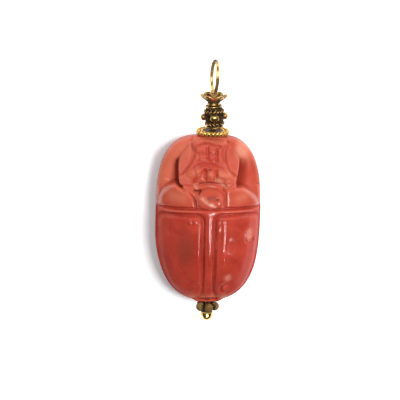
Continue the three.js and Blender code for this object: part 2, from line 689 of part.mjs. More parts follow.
function headPinGeometry() {
  const ballEnd = END_BALL_S - END_BALL_LENGTH;
  const wireEnd = EYE_S - EYE_RADIUS;
  const profile = [
    ...END_BALL_PROFILE.map(([radius, along]) => [radius, ballEnd + along]),
    [WIRE_RADIUS, END_BALL_S],
    [WIRE_RADIUS, wireEnd],
    [0, wireEnd],
  ];
  const shaft = latheAlongPin(profile, 12);
  const eye = new THREE.TorusGeometry(EYE_RADIUS, EYE_WIRE, 6, 14);
  eye.rotateX(Math.PI / 2);
  eye.translate(0, 0, EYE_S);
  return toGeometry(join([shaft, eye]));
}

function daisyGeometry() {
  const pitch = DAISY_GRANULE / Math.sin(Math.PI / DAISY_COUNT) + DAISY_GAP;
  const pieces = [];
  for (let i = 0; i < DAISY_COUNT; i += 1) {
    const angle = DAISY_TURN - Math.PI / 2 + (i * Math.PI * 2) / DAISY_COUNT;
    pieces.push(ball(DAISY_GRANULE, pitch * Math.cos(angle), pitch * Math.sin(angle), DAISY_S, 9, 6));
  }
  const hub = [
    [DAISY_HUB_HOLE, DAISY_S - DAISY_HUB_HALF],
    [DAISY_HUB_RADIUS, DAISY_S - DAISY_HUB_HALF],
    [DAISY_HUB_RADIUS, DAISY_S + DAISY_HUB_HALF],
    [DAISY_HUB_HOLE, DAISY_S + DAISY_HUB_HALF],
    [DAISY_HUB_HOLE, DAISY_S - DAISY_HUB_HALF],
  ];
  pieces.push(latheAlongPin(hub, 14));
  return toGeometry(join(pieces));
}

// A flat washer whose rim is a row of touching granules, made as one closed ring
function granuleRingGeometry() {
  const around = GRANULE_RING_COUNT * 3;
  const inner = GRANULE_RING_PITCH - GRANULE_RING_INNER;
  const geometry = new THREE.TorusGeometry(GRANULE_RING_PITCH, GRANULE_RING_BALL, 7, around);
  const places = geometry.attributes.position;
  for (let i = 0; i < places.count; i += 1) {
    const angle = Math.atan2(places.getY(i), places.getX(i));
    const out = (Math.hypot(places.getX(i), places.getY(i)) - GRANULE_RING_PITCH) / GRANULE_RING_BALL;
    const up = places.getZ(i) / GRANULE_RING_BALL;
    const swell = Math.sqrt(Math.abs(Math.sin((GRANULE_RING_COUNT * angle) / 2)));
    const size = GRANULE_RING_BALL * THREE.MathUtils.lerp(GRANULE_RING_LEAST, 1, swell);
    const radius = GRANULE_RING_PITCH + out * (out > 0 ? size : inner);
    places.setXYZ(i, radius * Math.cos(angle), radius * Math.sin(angle), up * size);
  }
  return geometry.translate(0, 0, GRANULE_RING_S);
}

function barrelBeadGeometry() {
  const end = BEAD_START_S + BEAD_LENGTH;
  const middle = (BEAD_START_S + end) / 2;
  const profile = [
    [BEAD_HOLE_RADIUS, BEAD_START_S],
    [BEAD_END_RADIUS, BEAD_START_S],
    [BEAD_END_RADIUS + BEAD_LIP, BEAD_START_S + BEAD_LIP_HALF],
    [BEAD_END_RADIUS, BEAD_START_S + BEAD_LIP_HALF * 2],
    [BEAD_SHOULDER.radius, BEAD_START_S + BEAD_SHOULDER.fromEnd],
    [BEAD_BELLY_RADIUS, middle - BEAD_BELLY_HALF],
    [BEAD_BELLY_RADIUS, middle + BEAD_BELLY_HALF],
    [BEAD_SHOULDER.radius, end - BEAD_SHOULDER.fromEnd],
    [BEAD_END_RADIUS, end - BEAD_LIP_HALF * 2],
    [BEAD_END_RADIUS + BEAD_LIP, end - BEAD_LIP_HALF],
    [BEAD_END_RADIUS, end],
    [COLLAR_RADIUS, end],
    [COLLAR_RADIUS + COLLAR_WIRE, end + COLLAR_LENGTH / 2],
    [COLLAR_RADIUS, end + COLLAR_LENGTH],
    [BEAD_HOLE_RADIUS, end + COLLAR_LENGTH],
    [BEAD_HOLE_RADIUS, BEAD_START_S],
  ];
  const pieces = [latheAlongPin(profile, 16)];
  pieces.push(ropeRing(ROPE_RADIUS, ROPE_WIRE, BEAD_START_S + ROPE_FROM_END));
  pieces.push(ropeRing(ROPE_RADIUS, ROPE_WIRE, end - ROPE_FROM_END));
  for (let i = 0; i < BELT_COUNT; i += 1) {
    const angle = (i / BELT_COUNT) * Math.PI * 2;
    const granule = new THREE.SphereGeometry(BELT_GRANULE, 8, 5).scale(...BELT_STRETCH);
    granule.translate(BELT_PITCH, 0, middle);
    granule.rotateZ(angle);
    pieces.push(granule);
  }
  const geometry = toGeometry(join(pieces));
  geometry.translate(0, 0, -middle);
  geometry.rotateY(-BEAD_TILT);
  geometry.translate(BEAD_SHIFT_X, 0, middle);
  return geometry;
}

// One petal: a dished leaf with a thick edge that leans outwards as it rises
function petalGeometry() {
  const reach = PETAL_REACH - PETAL_WIRE - PETAL_START;
  const inwards = new THREE.Vector3(-PETAL_RISE, 0, reach).normalize();
  const middle = new THREE.Vector3(PETAL_START + reach / 2, 0, FLOWER_START_S + PETAL_BASE + PETAL_RISE / 2);
  middle.addScaledVector(inwards, -PETAL_DISH);
  const upper = [];
  const lower = [];
  for (let k = 0; k < PETAL_STEPS; k += 1) {
    const turn = (k / PETAL_STEPS) * Math.PI * 2;
    const out = (1 - Math.cos(turn)) / 2;
    const side = PETAL_HALF_WIDTH * Math.sin(turn) * (1 - PETAL_TAPER * (1 - out));
    const rise = FLOWER_START_S + PETAL_BASE + PETAL_RISE * out ** PETAL_CURVE;
    const place = new THREE.Vector3(PETAL_START + reach * out, side, rise);
    upper.push(place.clone().addScaledVector(inwards, PETAL_WIRE));
    lower.push(place.clone().addScaledVector(inwards, -PETAL_WIRE));
  }
  const upperMiddle = middle.clone().addScaledVector(inwards, PETAL_SHEET);
  const lowerMiddle = middle.clone().addScaledVector(inwards, -PETAL_SHEET);
  const places = [...upper, ...lower, upperMiddle, lowerMiddle].flatMap((place) => place.toArray());
  const faces = [];
  for (let k = 0; k < PETAL_STEPS; k += 1) {
    const next = (k + 1) % PETAL_STEPS;
    const [a, b, c, d] = [k, next, PETAL_STEPS + next, PETAL_STEPS + k];
    faces.push(PETAL_STEPS * 2, b, a, PETAL_STEPS * 2 + 1, d, c, d, a, b, d, b, c);
  }
  const geometry = new THREE.BufferGeometry();
  geometry.setAttribute("position", new THREE.Float32BufferAttribute(places, 3));
  geometry.setIndex(faces);
  return geometry;
}

function flowerCapGeometry() {
  const bowl = BOWL_PROFILE.map(([radius, rise]) => [radius, FLOWER_START_S + rise]);
  const pieces = [latheAlongPin(bowl, 14)];
  for (let i = 0; i < PETAL_COUNT; i += 1) {
    pieces.push(petalGeometry().rotateZ((i / PETAL_COUNT) * Math.PI * 2));
  }
  return toGeometry(join(pieces));
}

function bailRingGeometry() {
  const ring = new THREE.TorusGeometry(RING_RADIUS, RING_WIRE, 8, 30);
  ring.rotateY(Math.PI / 2);
  ring.rotateY(RING_LEAN);
  ring.rotateZ(RING_TURN);
  return ring;
}

const pendant = new THREE.Group();
pendant.position.y = -PENDANT_MIDDLE_Y;

function addPiece(parent, name, geometry, finish) {
  const mesh = new THREE.Mesh(geometry, finish);
  mesh.name = name;
  parent.add(mesh);
  return mesh;
}

addPiece(pendant, "scarab", scarabGeometry(), coral);

const strung = new THREE.Group();
strung.applyMatrix4(alongPin);
pendant.add(strung);
addPiece(strung, "head_pin", headPinGeometry(), brightGold);
addPiece(strung, "daisy_spacer", daisyGeometry(), oldGold);
addPiece(strung, "granule_ring", granuleRingGeometry(), brightGold);
addPiece(strung, "barrel_bead", barrelBeadGeometry(), oldGold);
addPiece(strung, "flower_cap", flowerCapGeometry(), oldGold);

const ring = addPiece(pendant, "bail_ring", bailRingGeometry(), brightGold);
ring.position.set(Math.tan(-PIN_LEAN) * (RING_S + HALF_LENGTH) + RING_SHIFT_X, RING_S, RING_HEIGHT);

const group = new THREE.Group();
group.add(pendant);

export default group;
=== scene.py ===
# %% [markdown]
# # A coral scarab on a gold pin
# The real thing is a small pendant: a beetle carved from red coral, drilled from end to end and
# strung on a gold pin between little gold findings, with a plain ring at the head end to hang it by.
# The solid model already holds every size and place. This lesson puts the fine carving, the polish
# and the worn gold over it. Blender measures in metres, but a carver thinks in millimetres, so each
# piece is shaped in millimetres in the beetle's own frame and is only moved to its place at the end.

# %% Load the solid model and keep its box
import math

import bmesh
import bpy
import numpy as np
from mathutils import Matrix, Vector


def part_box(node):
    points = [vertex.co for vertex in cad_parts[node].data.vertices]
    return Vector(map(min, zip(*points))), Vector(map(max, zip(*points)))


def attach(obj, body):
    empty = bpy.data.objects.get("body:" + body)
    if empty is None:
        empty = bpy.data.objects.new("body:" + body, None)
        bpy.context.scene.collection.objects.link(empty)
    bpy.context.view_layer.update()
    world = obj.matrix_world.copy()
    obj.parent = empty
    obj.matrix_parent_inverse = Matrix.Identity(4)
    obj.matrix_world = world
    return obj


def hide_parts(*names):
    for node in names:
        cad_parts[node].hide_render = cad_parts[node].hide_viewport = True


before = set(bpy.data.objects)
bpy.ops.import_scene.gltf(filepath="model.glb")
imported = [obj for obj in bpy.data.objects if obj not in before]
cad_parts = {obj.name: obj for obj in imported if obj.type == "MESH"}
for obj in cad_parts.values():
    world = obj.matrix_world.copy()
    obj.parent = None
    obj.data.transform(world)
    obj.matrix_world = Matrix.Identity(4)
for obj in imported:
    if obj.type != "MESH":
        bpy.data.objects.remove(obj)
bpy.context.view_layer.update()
MM = 0.001
beetle_low, beetle_high = [np.array(corner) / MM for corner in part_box("scarab")]
HALF_WIDTH = beetle_high[0]
HALF_LENGTH = (beetle_high[1] - beetle_low[1]) / 2
BEETLE_Y = (beetle_high[1] + beetle_low[1]) / 2
print(f"beetle: {2 * HALF_WIDTH:.2f} x {2 * HALF_LENGTH:.2f} mm, centre at y {BEETLE_Y:.3f} mm")

# %% [markdown]
# ## The camera
# The photograph looks down on the pendant as it lies on a table, from the head's side of straight
# above. A camera is placed from four plain facts: how far off it stands, how much it leans towards
# the head, how much it stands to the left, and how wide a strip of table it sees. Building its axes
# by hand from those facts is steadier than aiming it by eye.

# %% Camera
CAMERA_DISTANCE = 400.0
CAMERA_LEAN = math.radians(15.2)
CAMERA_TURN = math.radians(2.0)
CAMERA_ROLL = math.radians(0.7)
SIGHT_HEIGHT = 3.0
SIGHT_RIGHT = -1.53
SIGHT_UP = 3.3
VIEW_WIDTH = 76.0
SENSOR_WIDTH = 36.0

towards_camera = Vector((
    -math.sin(CAMERA_TURN),
    math.sin(CAMERA_LEAN) * math.cos(CAMERA_TURN),
    math.cos(CAMERA_LEAN) * math.cos(CAMERA_TURN),
)).normalized()
level_up = Vector((0, 1, 0))
level_up = (level_up - towards_camera * level_up.dot(towards_camera)).normalized()
level_right = level_up.cross(towards_camera)
view_right = level_right * math.cos(CAMERA_ROLL) + level_up * math.sin(CAMERA_ROLL)
view_up = level_up * math.cos(CAMERA_ROLL) - level_right * math.sin(CAMERA_ROLL)
eye = Vector((0, BEETLE_Y, SIGHT_HEIGHT)) + view_right * SIGHT_RIGHT + view_up * SIGHT_UP
eye += towards_camera * CAMERA_DISTANCE

camera_data = bpy.data.cameras.new("camera")
camera_data.sensor_width = SENSOR_WIDTH
camera_data.lens = SENSOR_WIDTH * CAMERA_DISTANCE / VIEW_WIDTH
camera_data.clip_start = 0.01
camera = bpy.data.objects.new("camera", camera_data)
bpy.context.collection.objects.link(camera)
axes = Matrix((view_right, view_up, towards_camera)).transposed().to_4x4()
camera.matrix_world = Matrix.Translation(eye * MM) @ axes
bpy.context.scene.camera = camera
print(f"camera: lens {camera_data.lens:.1f} mm")

# %% [markdown]
# ## The table
# A jeweller photographs a small polished thing on white. The table is one large plane in a matte
# white that glows a trace of its own, because the real one is lit from all over the studio and its
# shadows never go dark.

# %% White table
TABLE_SIZE = 4.0
TABLE_COLOUR = (0.9, 0.91, 0.93, 1)
TABLE_ROUGHNESS = 0.9
TABLE_GLOW = 0.22


def plain_table():
    bpy.ops.mesh.primitive_plane_add(size=TABLE_SIZE)
    table = bpy.context.object
    table.name = "table"
    paint = bpy.data.materials.new("white_table")
    paint.use_nodes = True
    shader = paint.node_tree.nodes["Principled BSDF"]
    shader.inputs["Base Color"].default_value = TABLE_COLOUR
    shader.inputs["Roughness"].default_value = TABLE_ROUGHNESS
    shader.inputs["Emission Color"].default_value = TABLE_COLOUR
    shader.inputs["Emission Strength"].default_value = TABLE_GLOW
    table.data.materials.append(paint)
    return table


table = plain_table()
print(f"table {TABLE_SIZE} m wide")

# %% [markdown]
# ## The lamps
# One large soft lamp lights the pendant, a smaller and lower one throws the shadow on the table, and
# two more give the gold its glints, one from beyond the head and one on the domed end of the pin. On
# the photograph the polish also shows pairs of thin bright lines, so two narrow strips are added that
# light nothing but the polish. Which lamp lights what is settled once all the pieces are there.

# %% Soft lamps and light strips
LAMP_DIRECTION = Vector((0.25, 0.18, 0.94)).normalized()
LAMP_DISTANCE = 0.6
LAMP_SIZE = 0.55
LAMP_POWER = 4.3
TABLE_LAMP_DIRECTION = Vector((0.5, 0.22, 0.84)).normalized()
TABLE_LAMP_SIZE = 0.3
TABLE_LAMP_POWER = 5.6
GOLD_LAMP_DIRECTION = Vector((0.0, 0.52, 0.85)).normalized()
GOLD_LAMP_SIZE = 0.3
GOLD_LAMP_POWER = 2.0
TAIL_LAMP_DIRECTION = Vector((0.12, -0.55, 0.83)).normalized()
TAIL_LAMP_POWER = 2.5
STRIP_DIRECTION = Vector((0.35, -0.36, 0.86)).normalized()
STRIP_DISTANCE = 0.5
STRIP_WIDTH = 0.012
STRIP_LENGTH = 0.24
STRIP_GAP = 0.18
STRIP_POWER = 0.8


def area_lamp(name, direction, distance, size, power):
    """A lamp that looks at the beetle from a direction"""
    data = bpy.data.lights.new(name, "AREA")
    data.shape = "RECTANGLE"
    data.size, data.size_y = size if isinstance(size, tuple) else (size, size)
    data.energy = power
    lamp = bpy.data.objects.new(name, data)
    lamp.location = Vector((0, BEETLE_Y * MM, 0)) + direction * distance
    lamp.rotation_euler = direction.to_track_quat("Z", "Y").to_euler()
    bpy.context.collection.objects.link(lamp)
    return lamp


def light_strip(name, sideways):
    """A long narrow lamp that only the polish shows"""
    strip = area_lamp(name, STRIP_DIRECTION, STRIP_DISTANCE, (STRIP_WIDTH, STRIP_LENGTH), STRIP_POWER)
    strip.location.x += sideways
    strip.visible_diffuse = False
    return strip


soft_lamp = area_lamp("soft_lamp", LAMP_DIRECTION, LAMP_DISTANCE, LAMP_SIZE, LAMP_POWER)
soft_lamp.visible_glossy = False
table_lamp = area_lamp("table_lamp", TABLE_LAMP_DIRECTION, LAMP_DISTANCE, TABLE_LAMP_SIZE, TABLE_LAMP_POWER)
table_lamp.visible_glossy = False
gold_lamp = area_lamp("gold_lamp", GOLD_LAMP_DIRECTION, LAMP_DISTANCE, GOLD_LAMP_SIZE, GOLD_LAMP_POWER)
tail_lamp = area_lamp("tail_lamp", TAIL_LAMP_DIRECTION, LAMP_DISTANCE, GOLD_LAMP_SIZE, TAIL_LAMP_POWER)
strips = [
    light_strip("left_light_strip", -STRIP_GAP / 2),
    light_strip("right_light_strip", STRIP_GAP / 2),
]
print("four soft lamps and", len(strips), "light strips")

# %% [markdown]
# ## The surroundings
# The world is what the polish mirrors. It is dark but for one wide window beyond the head, and the
# gold shows just that: bright where it faces the window and brown elsewhere. The window is a ramp of
# greys over the angle to its middle. The camera itself sees plain white behind the table's edge.

# %% A dark room with a window
WORLD_STRENGTH = 1.0
WINDOW_SIDE = Vector((0.06, 0.62, 0.78)).normalized()
WINDOW_SQUEEZE = (0.5, 1, 1)
WORLD_GREYS = [(0.0, 0.07), (0.7, 0.1), (0.86, 0.22), (0.93, 1.1), (1.0, 1.35)]
BACKDROP_GREY = 0.95


def room_with_window():
    """What the polish mirrors, behind a plain white that only the camera sees"""
    world = bpy.data.worlds.new("room_with_window")
    bpy.context.scene.world = world
    world.use_nodes = True
    nodes = world.node_tree.nodes
    links = world.node_tree.links
    direction = nodes.new("ShaderNodeTexCoord").outputs["Generated"]
    steps = (("MULTIPLY", WINDOW_SQUEEZE), ("NORMALIZE", None), ("DOT_PRODUCT", WINDOW_SIDE))
    for operation, value in steps:
        step = nodes.new("ShaderNodeVectorMath")
        step.operation = operation
        if value is not None:
            step.inputs[1].default_value = value
        links.new(direction, step.inputs[0])
        direction = step.outputs[0]
    ramp = nodes.new("ShaderNodeValToRGB")
    first, last = ramp.color_ramp.elements
    first.position, last.position = WORLD_GREYS[0][0], WORLD_GREYS[-1][0]
    for element, grey in ((first, WORLD_GREYS[0][1]), (last, WORLD_GREYS[-1][1])):
        element.color = (grey, grey, grey, 1)
    for position, grey in WORLD_GREYS[1:-1]:
        ramp.color_ramp.elements.new(position).color = (grey, grey, grey, 1)
    links.new(step.outputs["Value"], ramp.inputs[0])
    background = nodes["Background"]
    links.new(ramp.outputs["Color"], background.inputs["Color"])
    background.inputs["Strength"].default_value = WORLD_STRENGTH
    backdrop = nodes.new("ShaderNodeBackground")
    backdrop.inputs["Color"].default_value = (BACKDROP_GREY, BACKDROP_GREY, BACKDROP_GREY, 1)
    sight = nodes.new("ShaderNodeLightPath")
    either = nodes.new("ShaderNodeMixShader")
    links.new(sight.outputs["Is Camera Ray"], either.inputs[0])
    links.new(background.outputs[0], either.inputs[1])
    links.new(backdrop.outputs[0], either.inputs[2])
    links.new(either.outputs[0], nodes["World Output"].inputs["Surface"])


room_with_window()
bpy.context.scene.view_settings.view_transform = "Standard"
print("room with a window, greys from", WORLD_GREYS[0][1], "to", WORLD_GREYS[-1][1])

# %% [markdown]
# ## Small tools for carving
# Hand carving is mostly three moves: a soft step from one level to another, a rounded groove along a
# line, and a mound. Each is one short function of distance here, and numpy works it out for every
# point of the surface at once. Everything that follows on the beetle is built from these.

# %% Steps, grooves and distances


def soft_step(start, end, value):
    share = np.clip((value - start) / (end - start), 0, 1)
    return share * share * (3 - 2 * share)


def groove(distance, width):
    return np.exp(-((distance / width) ** 2))


def patch(x, y, place, full=0.3, gone=1.15):
    """An oval spot, given by its middle and half sizes, that fades out at its border"""
    middle_x, middle_y, half_x, half_y = place
    return soft_step(gone, full, np.hypot((x - middle_x) / half_x, (y - middle_y) / half_y))


def mounds(x, y, places):
    """Soft round swellings, each with its place, half sizes and height"""
    height = np.zeros(np.shape(x))
    for middle_x, middle_y, half_x, half_y, rise in places:
        reach = np.hypot((x - middle_x) / half_x, (y - middle_y) / half_y)
        height += rise * np.maximum(1 - reach**2, 0) ** 1.5
    return height


def blend(first, second, share):
    return first + (second - first) * share


def line_distance(x, y, points):
    """Distance to a line drawn through the given points"""
    nearest = np.full(np.shape(x), np.inf)
    for (ax, ay), (bx, by) in zip(points, points[1:]):
        length = (bx - ax) ** 2 + (by - ay) ** 2
        share = np.clip(((x - ax) * (bx - ax) + (y - ay) * (by - ay)) / length, 0, 1)
        nearest = np.minimum(nearest, np.hypot(x - ax - share * (bx - ax), y - ay - share * (by - ay)))
    return nearest


def inside_corners(x, y, corners, rounding):
    """How far inside a convex outline, given anticlockwise, with its corners rounded off"""
    total = np.zeros(np.shape(x))
    for (ax, ay), (bx, by) in zip(corners, corners[1:] + corners[:1]):
        side = ((bx - ax) * (y - ay) - (by - ay) * (x - ax)) / math.hypot(bx - ax, by - ay)
        total += np.exp(np.clip(-side / rounding, -60, 60))
    return -rounding * np.log(total)


trial_line = [(0, 0), (2, 0)]
trial_distance = float(line_distance(1.0, 1.0, trial_line))
print(f"a point 1 mm beside a line has distance {trial_distance:.1f} mm")

# %% [markdown]
# ## The beetle's outline
# From above the beetle is a long oval, a little squarer at the head. A superellipse gives that with
# one number: at a power of 2 it is an ellipse, and higher powers push it out towards a rectangle.
# The same kind of curve bounds the dome of the wing cases inside it.

# %% Outline and dome
HEAD_POWER = 3.12
TAIL_POWER = 2.6
RIM_HEIGHT = 4.3
TOP_HEIGHT = 10.4
DOME_HALF_WIDTH = 9.6
DOME_MIDDLE_Y = 2.0
DOME_TO_TAIL = 17.85
DOME_TO_HEAD = 12.2
DOME_POWER = 2.75
DOME_FULLNESS = 2.4
DOME_EDGE = 0.6


def outline_reach(x, y):
    power = np.where(y > 0, HEAD_POWER, TAIL_POWER)
    return (np.abs(x / HALF_WIDTH) ** power + np.abs(y / HALF_LENGTH) ** power) ** (1 / power)


def dome_reach(x, y):
    along = (y - DOME_MIDDLE_Y) / np.where(y < DOME_MIDDLE_Y, DOME_TO_TAIL, DOME_TO_HEAD)
    return (np.abs(x / DOME_HALF_WIDTH) ** DOME_POWER + np.abs(along) ** DOME_POWER) ** (1 / DOME_POWER)


def dome_height(x, y):
    reach = np.minimum(dome_reach(x, y), 1)
    return RIM_HEIGHT + (TOP_HEIGHT - RIM_HEIGHT) * (1 - reach ** DOME_FULLNESS) ** DOME_EDGE


print(f"dome stands {TOP_HEIGHT} mm high over a rim {RIM_HEIGHT} mm high")

# %% [markdown]
# ## Wing cases
# The wing cases are two smooth fields on one dome, parted by a round ridge down the back and a
# crossbar under the thorax, with a groove all round each. The carver cut the groove first and then
# rounded the edges beside it. Here the groove follows a distance field: negative on a wing case, zero
# on its edge. Rounding the inner corners is then just a matter of how two distances are combined.

# %% Wing cases, ridge and crossbar
RIDGE_HALF_WIDTH = 0.9
WING_EDGE_X = 1.12
CORNER_RADIUS = 1.6
BAR_MIDDLE_Y = 2.9
BAR_HALF_WIDTH = 0.5
BAR_SAG = 0.5
SIDE_REACH = 8.3
WING_GROOVE_WIDTH = 0.36
WING_GROOVE_DEPTH = 0.55
WING_GROOVE_AT_TAIL = 0.55
WING_GROOVE_FADES = (-15, -8)
WING_LIFT = 0.1
WING_LIFT_MARGIN = 0.8
WING_MOUNDS = [(-3.7, 1.1, 0.6, 0.9, 0.2), (-2.8, 1.15, 0.5, 0.8, 0.16)]
RIDGE_ROUND = 0.3
RIDGE_BEHIND_BAR = 1.2
CREST_X = 3.0
CREST_HEIGHT = 0.17
CREST_WIDTH = 0.6
CREST_MARGIN = 1.2


def bar_middle(x):
    return BAR_MIDDLE_Y - BAR_SAG * (x / SIDE_REACH) ** 2


def round_corner(first, second, radius):
    """Joins two distance fields so that the corner between them is an arc"""
    both = np.hypot(np.maximum(first + radius, 0), np.maximum(second + radius, 0))
    return np.minimum(np.maximum(first, second) + radius, 0) + both - radius


def wing_distance(x, y):
    from_ridge = WING_EDGE_X - np.abs(x)
    from_bar = y - (bar_middle(x) - BAR_HALF_WIDTH)
    outer = (dome_reach(x, y) - 1) * DOME_HALF_WIDTH
    inner = round_corner(from_ridge, from_bar, CORNER_RADIUS)
    return round_corner(inner, outer, CORNER_RADIUS)


def wing_case_height(x, y):
    height = dome_height(x, y)
    outside = wing_distance(x, y)
    height += WING_LIFT * soft_step(0, -WING_LIFT_MARGIN, outside)
    height += CREST_HEIGHT * groove(x - CREST_X, CREST_WIDTH) * soft_step(0, -CREST_MARGIN, outside)
    on_dome = soft_step(1.02, 0.97, dome_reach(x, y))
    fading = blend(WING_GROOVE_AT_TAIL, 1, soft_step(*WING_GROOVE_FADES, y))
    height -= WING_GROOVE_DEPTH * fading * groove(outside, WING_GROOVE_WIDTH) * on_dome
    ridge = np.clip(np.abs(x) / RIDGE_HALF_WIDTH, 0, 1)
    behind_bar = soft_step(BAR_MIDDLE_Y, BAR_MIDDLE_Y - RIDGE_BEHIND_BAR, y)
    height -= RIDGE_ROUND * (1 - np.sqrt(1 - 0.96 * ridge**2)) * (outside > 0) * behind_bar
    return height


print(f"ridge {2 * RIDGE_HALF_WIDTH} mm wide, crossbar {2 * BAR_HALF_WIDTH} mm wide at y {BAR_MIDDLE_Y} mm")

# %% [markdown]
# ## Thorax
# In front of the wing cases lie two leaf-shaped lobes with a rounded shield between them. Both lobes
# have the same kind of edge, but the hand that cut them made the left one fuller than the right one,
# so each side has its own few numbers and they share one function.

# %% Thorax lobes and shield
LOBE_TIP_X = 9.45
LOBE_BASE_Y = 3.2
LOBE_HEIGHT = 9.75
LOBE_FALL = 4.4
LOBE_FALL_POWER = 2.6
LOBE_WALL = 0.32
LOBE_DIP_FROM = 6.6
LOBE_DIP_FULL = 5.0
LOBE_FOOT_GAP = 0.1
LOBE_TIP_LIFT = 0.6
LOBE_SLANT_X = 7.5
LOBE_SLANT = 0.8
LOBE_EDGE_WIDTH = 0.7
LOBE_EDGE_SOFTENING = 0.45
LEFT_LOBE_INNER_X = 2.6
LEFT_LOBE_BEND = 0.29
LEFT_LOBE_BEND_Y = 4.3
LEFT_LOBE_BEND_POWER = 1.9
RIGHT_LOBE_INNER_X = 2.85
BAR_FRONT_DEPTH = 0.55
BAR_FRONT_GAP = 0.05
BAR_FRONT_WIDTH = 0.2
SHIELD_MIDDLE_Y = 5.3
SHIELD_HALF_WIDTH = 2.5
SHIELD_HALF_LENGTH = 2.0
SHIELD_SWELL = 0.43
SHIELD_GROOVE_DEPTH = 0.3
SHIELD_GROOVE_FROM = 0.8
SHIELD_GROOVE_TO = 1.15
NECK_HEIGHT = 8.9
LOBE_SHAPE = {"left": (4.65, 6.0, 0.6, 0.9), "right": (4.75, 3.4, 0.75, 0.45)}


def lobe_edge(x, side):
    """Upper edge of a lobe, drawn down where it meets the head"""
    rise, power, roundness, dip = LOBE_SHAPE[side]
    share = np.clip(np.abs(x) / LOBE_TIP_X, 0, 1)
    top = LOBE_BASE_Y + rise * (1 - share**power) ** roundness
    return top - dip * soft_step(LOBE_DIP_FROM, LOBE_DIP_FULL, np.abs(x))


def lobe_foot(x):
    across = np.abs(x)
    tip = np.clip((across - SIDE_REACH) / (LOBE_TIP_X - SIDE_REACH), 0, 1)
    return bar_middle(x) + BAR_HALF_WIDTH + LOBE_FOOT_GAP + LOBE_TIP_LIFT * tip**2


def inside_lobe(x, y):
    left = x < 0
    top = np.where(left, lobe_edge(x, "left"), lobe_edge(x, "right"))
    bend = LEFT_LOBE_BEND * np.maximum(y - LEFT_LOBE_BEND_Y, 0) ** LEFT_LOBE_BEND_POWER
    inner = np.where(left, LEFT_LOBE_INNER_X + bend, RIGHT_LOBE_INNER_X)
    across = np.abs(x)
    slanted = (top - y) * np.where(across > LOBE_SLANT_X, LOBE_SLANT, 1.0)
    return np.minimum.reduce([slanted, y - lobe_foot(x), across - inner, LOBE_TIP_X - across])


def lobe_height(x, y):
    across = np.abs(x)
    depth = inside_lobe(x, y)
    height = LOBE_HEIGHT - LOBE_FALL * (across / LOBE_TIP_X) ** LOBE_FALL_POWER
    height -= LOBE_EDGE_SOFTENING * soft_step(LOBE_EDGE_WIDTH, 0, depth) ** 2
    return height


for lobe_side in ("left", "right"):
    top_beside_shield = float(lobe_edge(np.array(5.0), lobe_side))
    print(f"{lobe_side} lobe rises to y {top_beside_shield:.2f} mm beside the shield")

# %% [markdown]
# ## Head
# The head is a hexagonal plate with steep walls. Two curved grooves part the cheeks from the middle,
# short crossed strokes decorate the clypeus in front, and a swelling brow with two flutes lies
# behind. Each mark is a groove along a short line. The lines were drawn on a slightly shorter head,
# so the place is drawn out by a tenth before they are looked up.

# %% Head plate
HEAD_CORNERS = [
    (3.2, 15.85), (-3.25, 16.12), (-5.76, 12.15), (-5.62, 7.7), (4.95, 7.72), (5.3, 9.1), (5.74, 12.1),
]
HEAD_CORNER_ROUND = 0.28
HEAD_BACK_Y = 7.75
HEAD_BACK_HEIGHT = 8.9
HEAD_SLOPE = 0.32
HEAD_CROWN = 0.012
HEAD_WALL = 0.3
HEAD_EDGE_SOFTENING = 0.16
FACET_START_Y = 14.9
FACET_END_Y = 16.1
FACET_DEPTH = 0.8
DRAW_OUT_FROM = 10.6
DRAW_OUT = 1.1
CHEEK_SHAPE = {"left": (2.95, 13.7, 0.15), "right": (2.72, 12.9, 0.175)}
CHEEK_DEPTH = 0.42
CHEEK_DROP = 0.6
CHEEK_DROP_WIDTH = 3.0
CHEEK_GROOVE_WIDTHS = (0.3, 0.46)
CHEEK_WIDENS = (11, 14)
BROW_X = 0.3
BROW_Y = 10.1
BROW_HALF_WIDTH = 4.2
BROW_HALF_LENGTH = 1.9
BROW_SWELL = 0.7
HEAD_STROKES = [
    ([(-0.38, 12.3), (-0.38, 14.2)], 0.26, 0.26),
    ([(1.34, 12.0), (1.37, 13.9)], 0.26, 0.26),
    ([(-2.3, 13.15), (1.3, 13.2)], 0.26, 0.18),
    ([(-2.1, 12.1), (-2.1, 12.9)], 0.2, 0.1),
    ([(-2.36, 14.6), (-0.93, 14.95), (0.81, 14.7), (1.99, 14.25)], 0.3, 0.3),
    ([(-3.0, 11.1), (-2.09, 11.63), (-0.91, 11.75), (0.82, 11.6), (2.09, 11.05), (3.0, 10.45)], 0.42, 0.26),
    ([(-0.92, 10.6), (-1.77, 9.93), (-2.63, 9.19), (-3.2, 8.6)], 0.3, 0.3),
    ([(-0.83, 10.5), (-0.83, 9.0)], 0.3, 0.42),
    ([(1.13, 10.5), (1.13, 9.0)], 0.3, 0.42),
    ([(-1.85, 8.12), (-0.25, 8.38), (1.35, 8.18), (2.76, 8.07)], 0.24, 0.5),
]


def beside_cheek(x, y):
    """Distance outside the curved groove between the head's middle and the cheek"""
    across = np.abs(x)
    offsets = []
    for side in ("left", "right"):
        nearest_x, nearest_y, bend = CHEEK_SHAPE[side]
        offsets.append(across - nearest_x - bend * (y - nearest_y) ** 2)
    return np.where(x < 0, offsets[0], offsets[1])


def inside_head(x, y):
    return inside_corners(x, y, HEAD_CORNERS, HEAD_CORNER_ROUND)


def brow_swell(x, y):
    """A fluted swelling that rises behind the middle arc and drops to the crack"""
    along = (y - BROW_Y) / BROW_HALF_LENGTH
    across = np.abs(x - BROW_X) / BROW_HALF_WIDTH
    return BROW_SWELL * np.maximum(1 - along**2, 0) ** 1.2 * soft_step(1.0, 0.6, across)


BROW_MOUNDS = [
    (-3.6, 10.1, 0.9, 1.1, 0.3), (-2.2, 10.5, 0.7, 0.9, 0.26), (0.1, 10.2, 0.75, 1.1, 0.3),
    (2.0, 10.1, 0.7, 1.1, 0.28), (3.1, 9.8, 0.9, 1.2, 0.26),
]


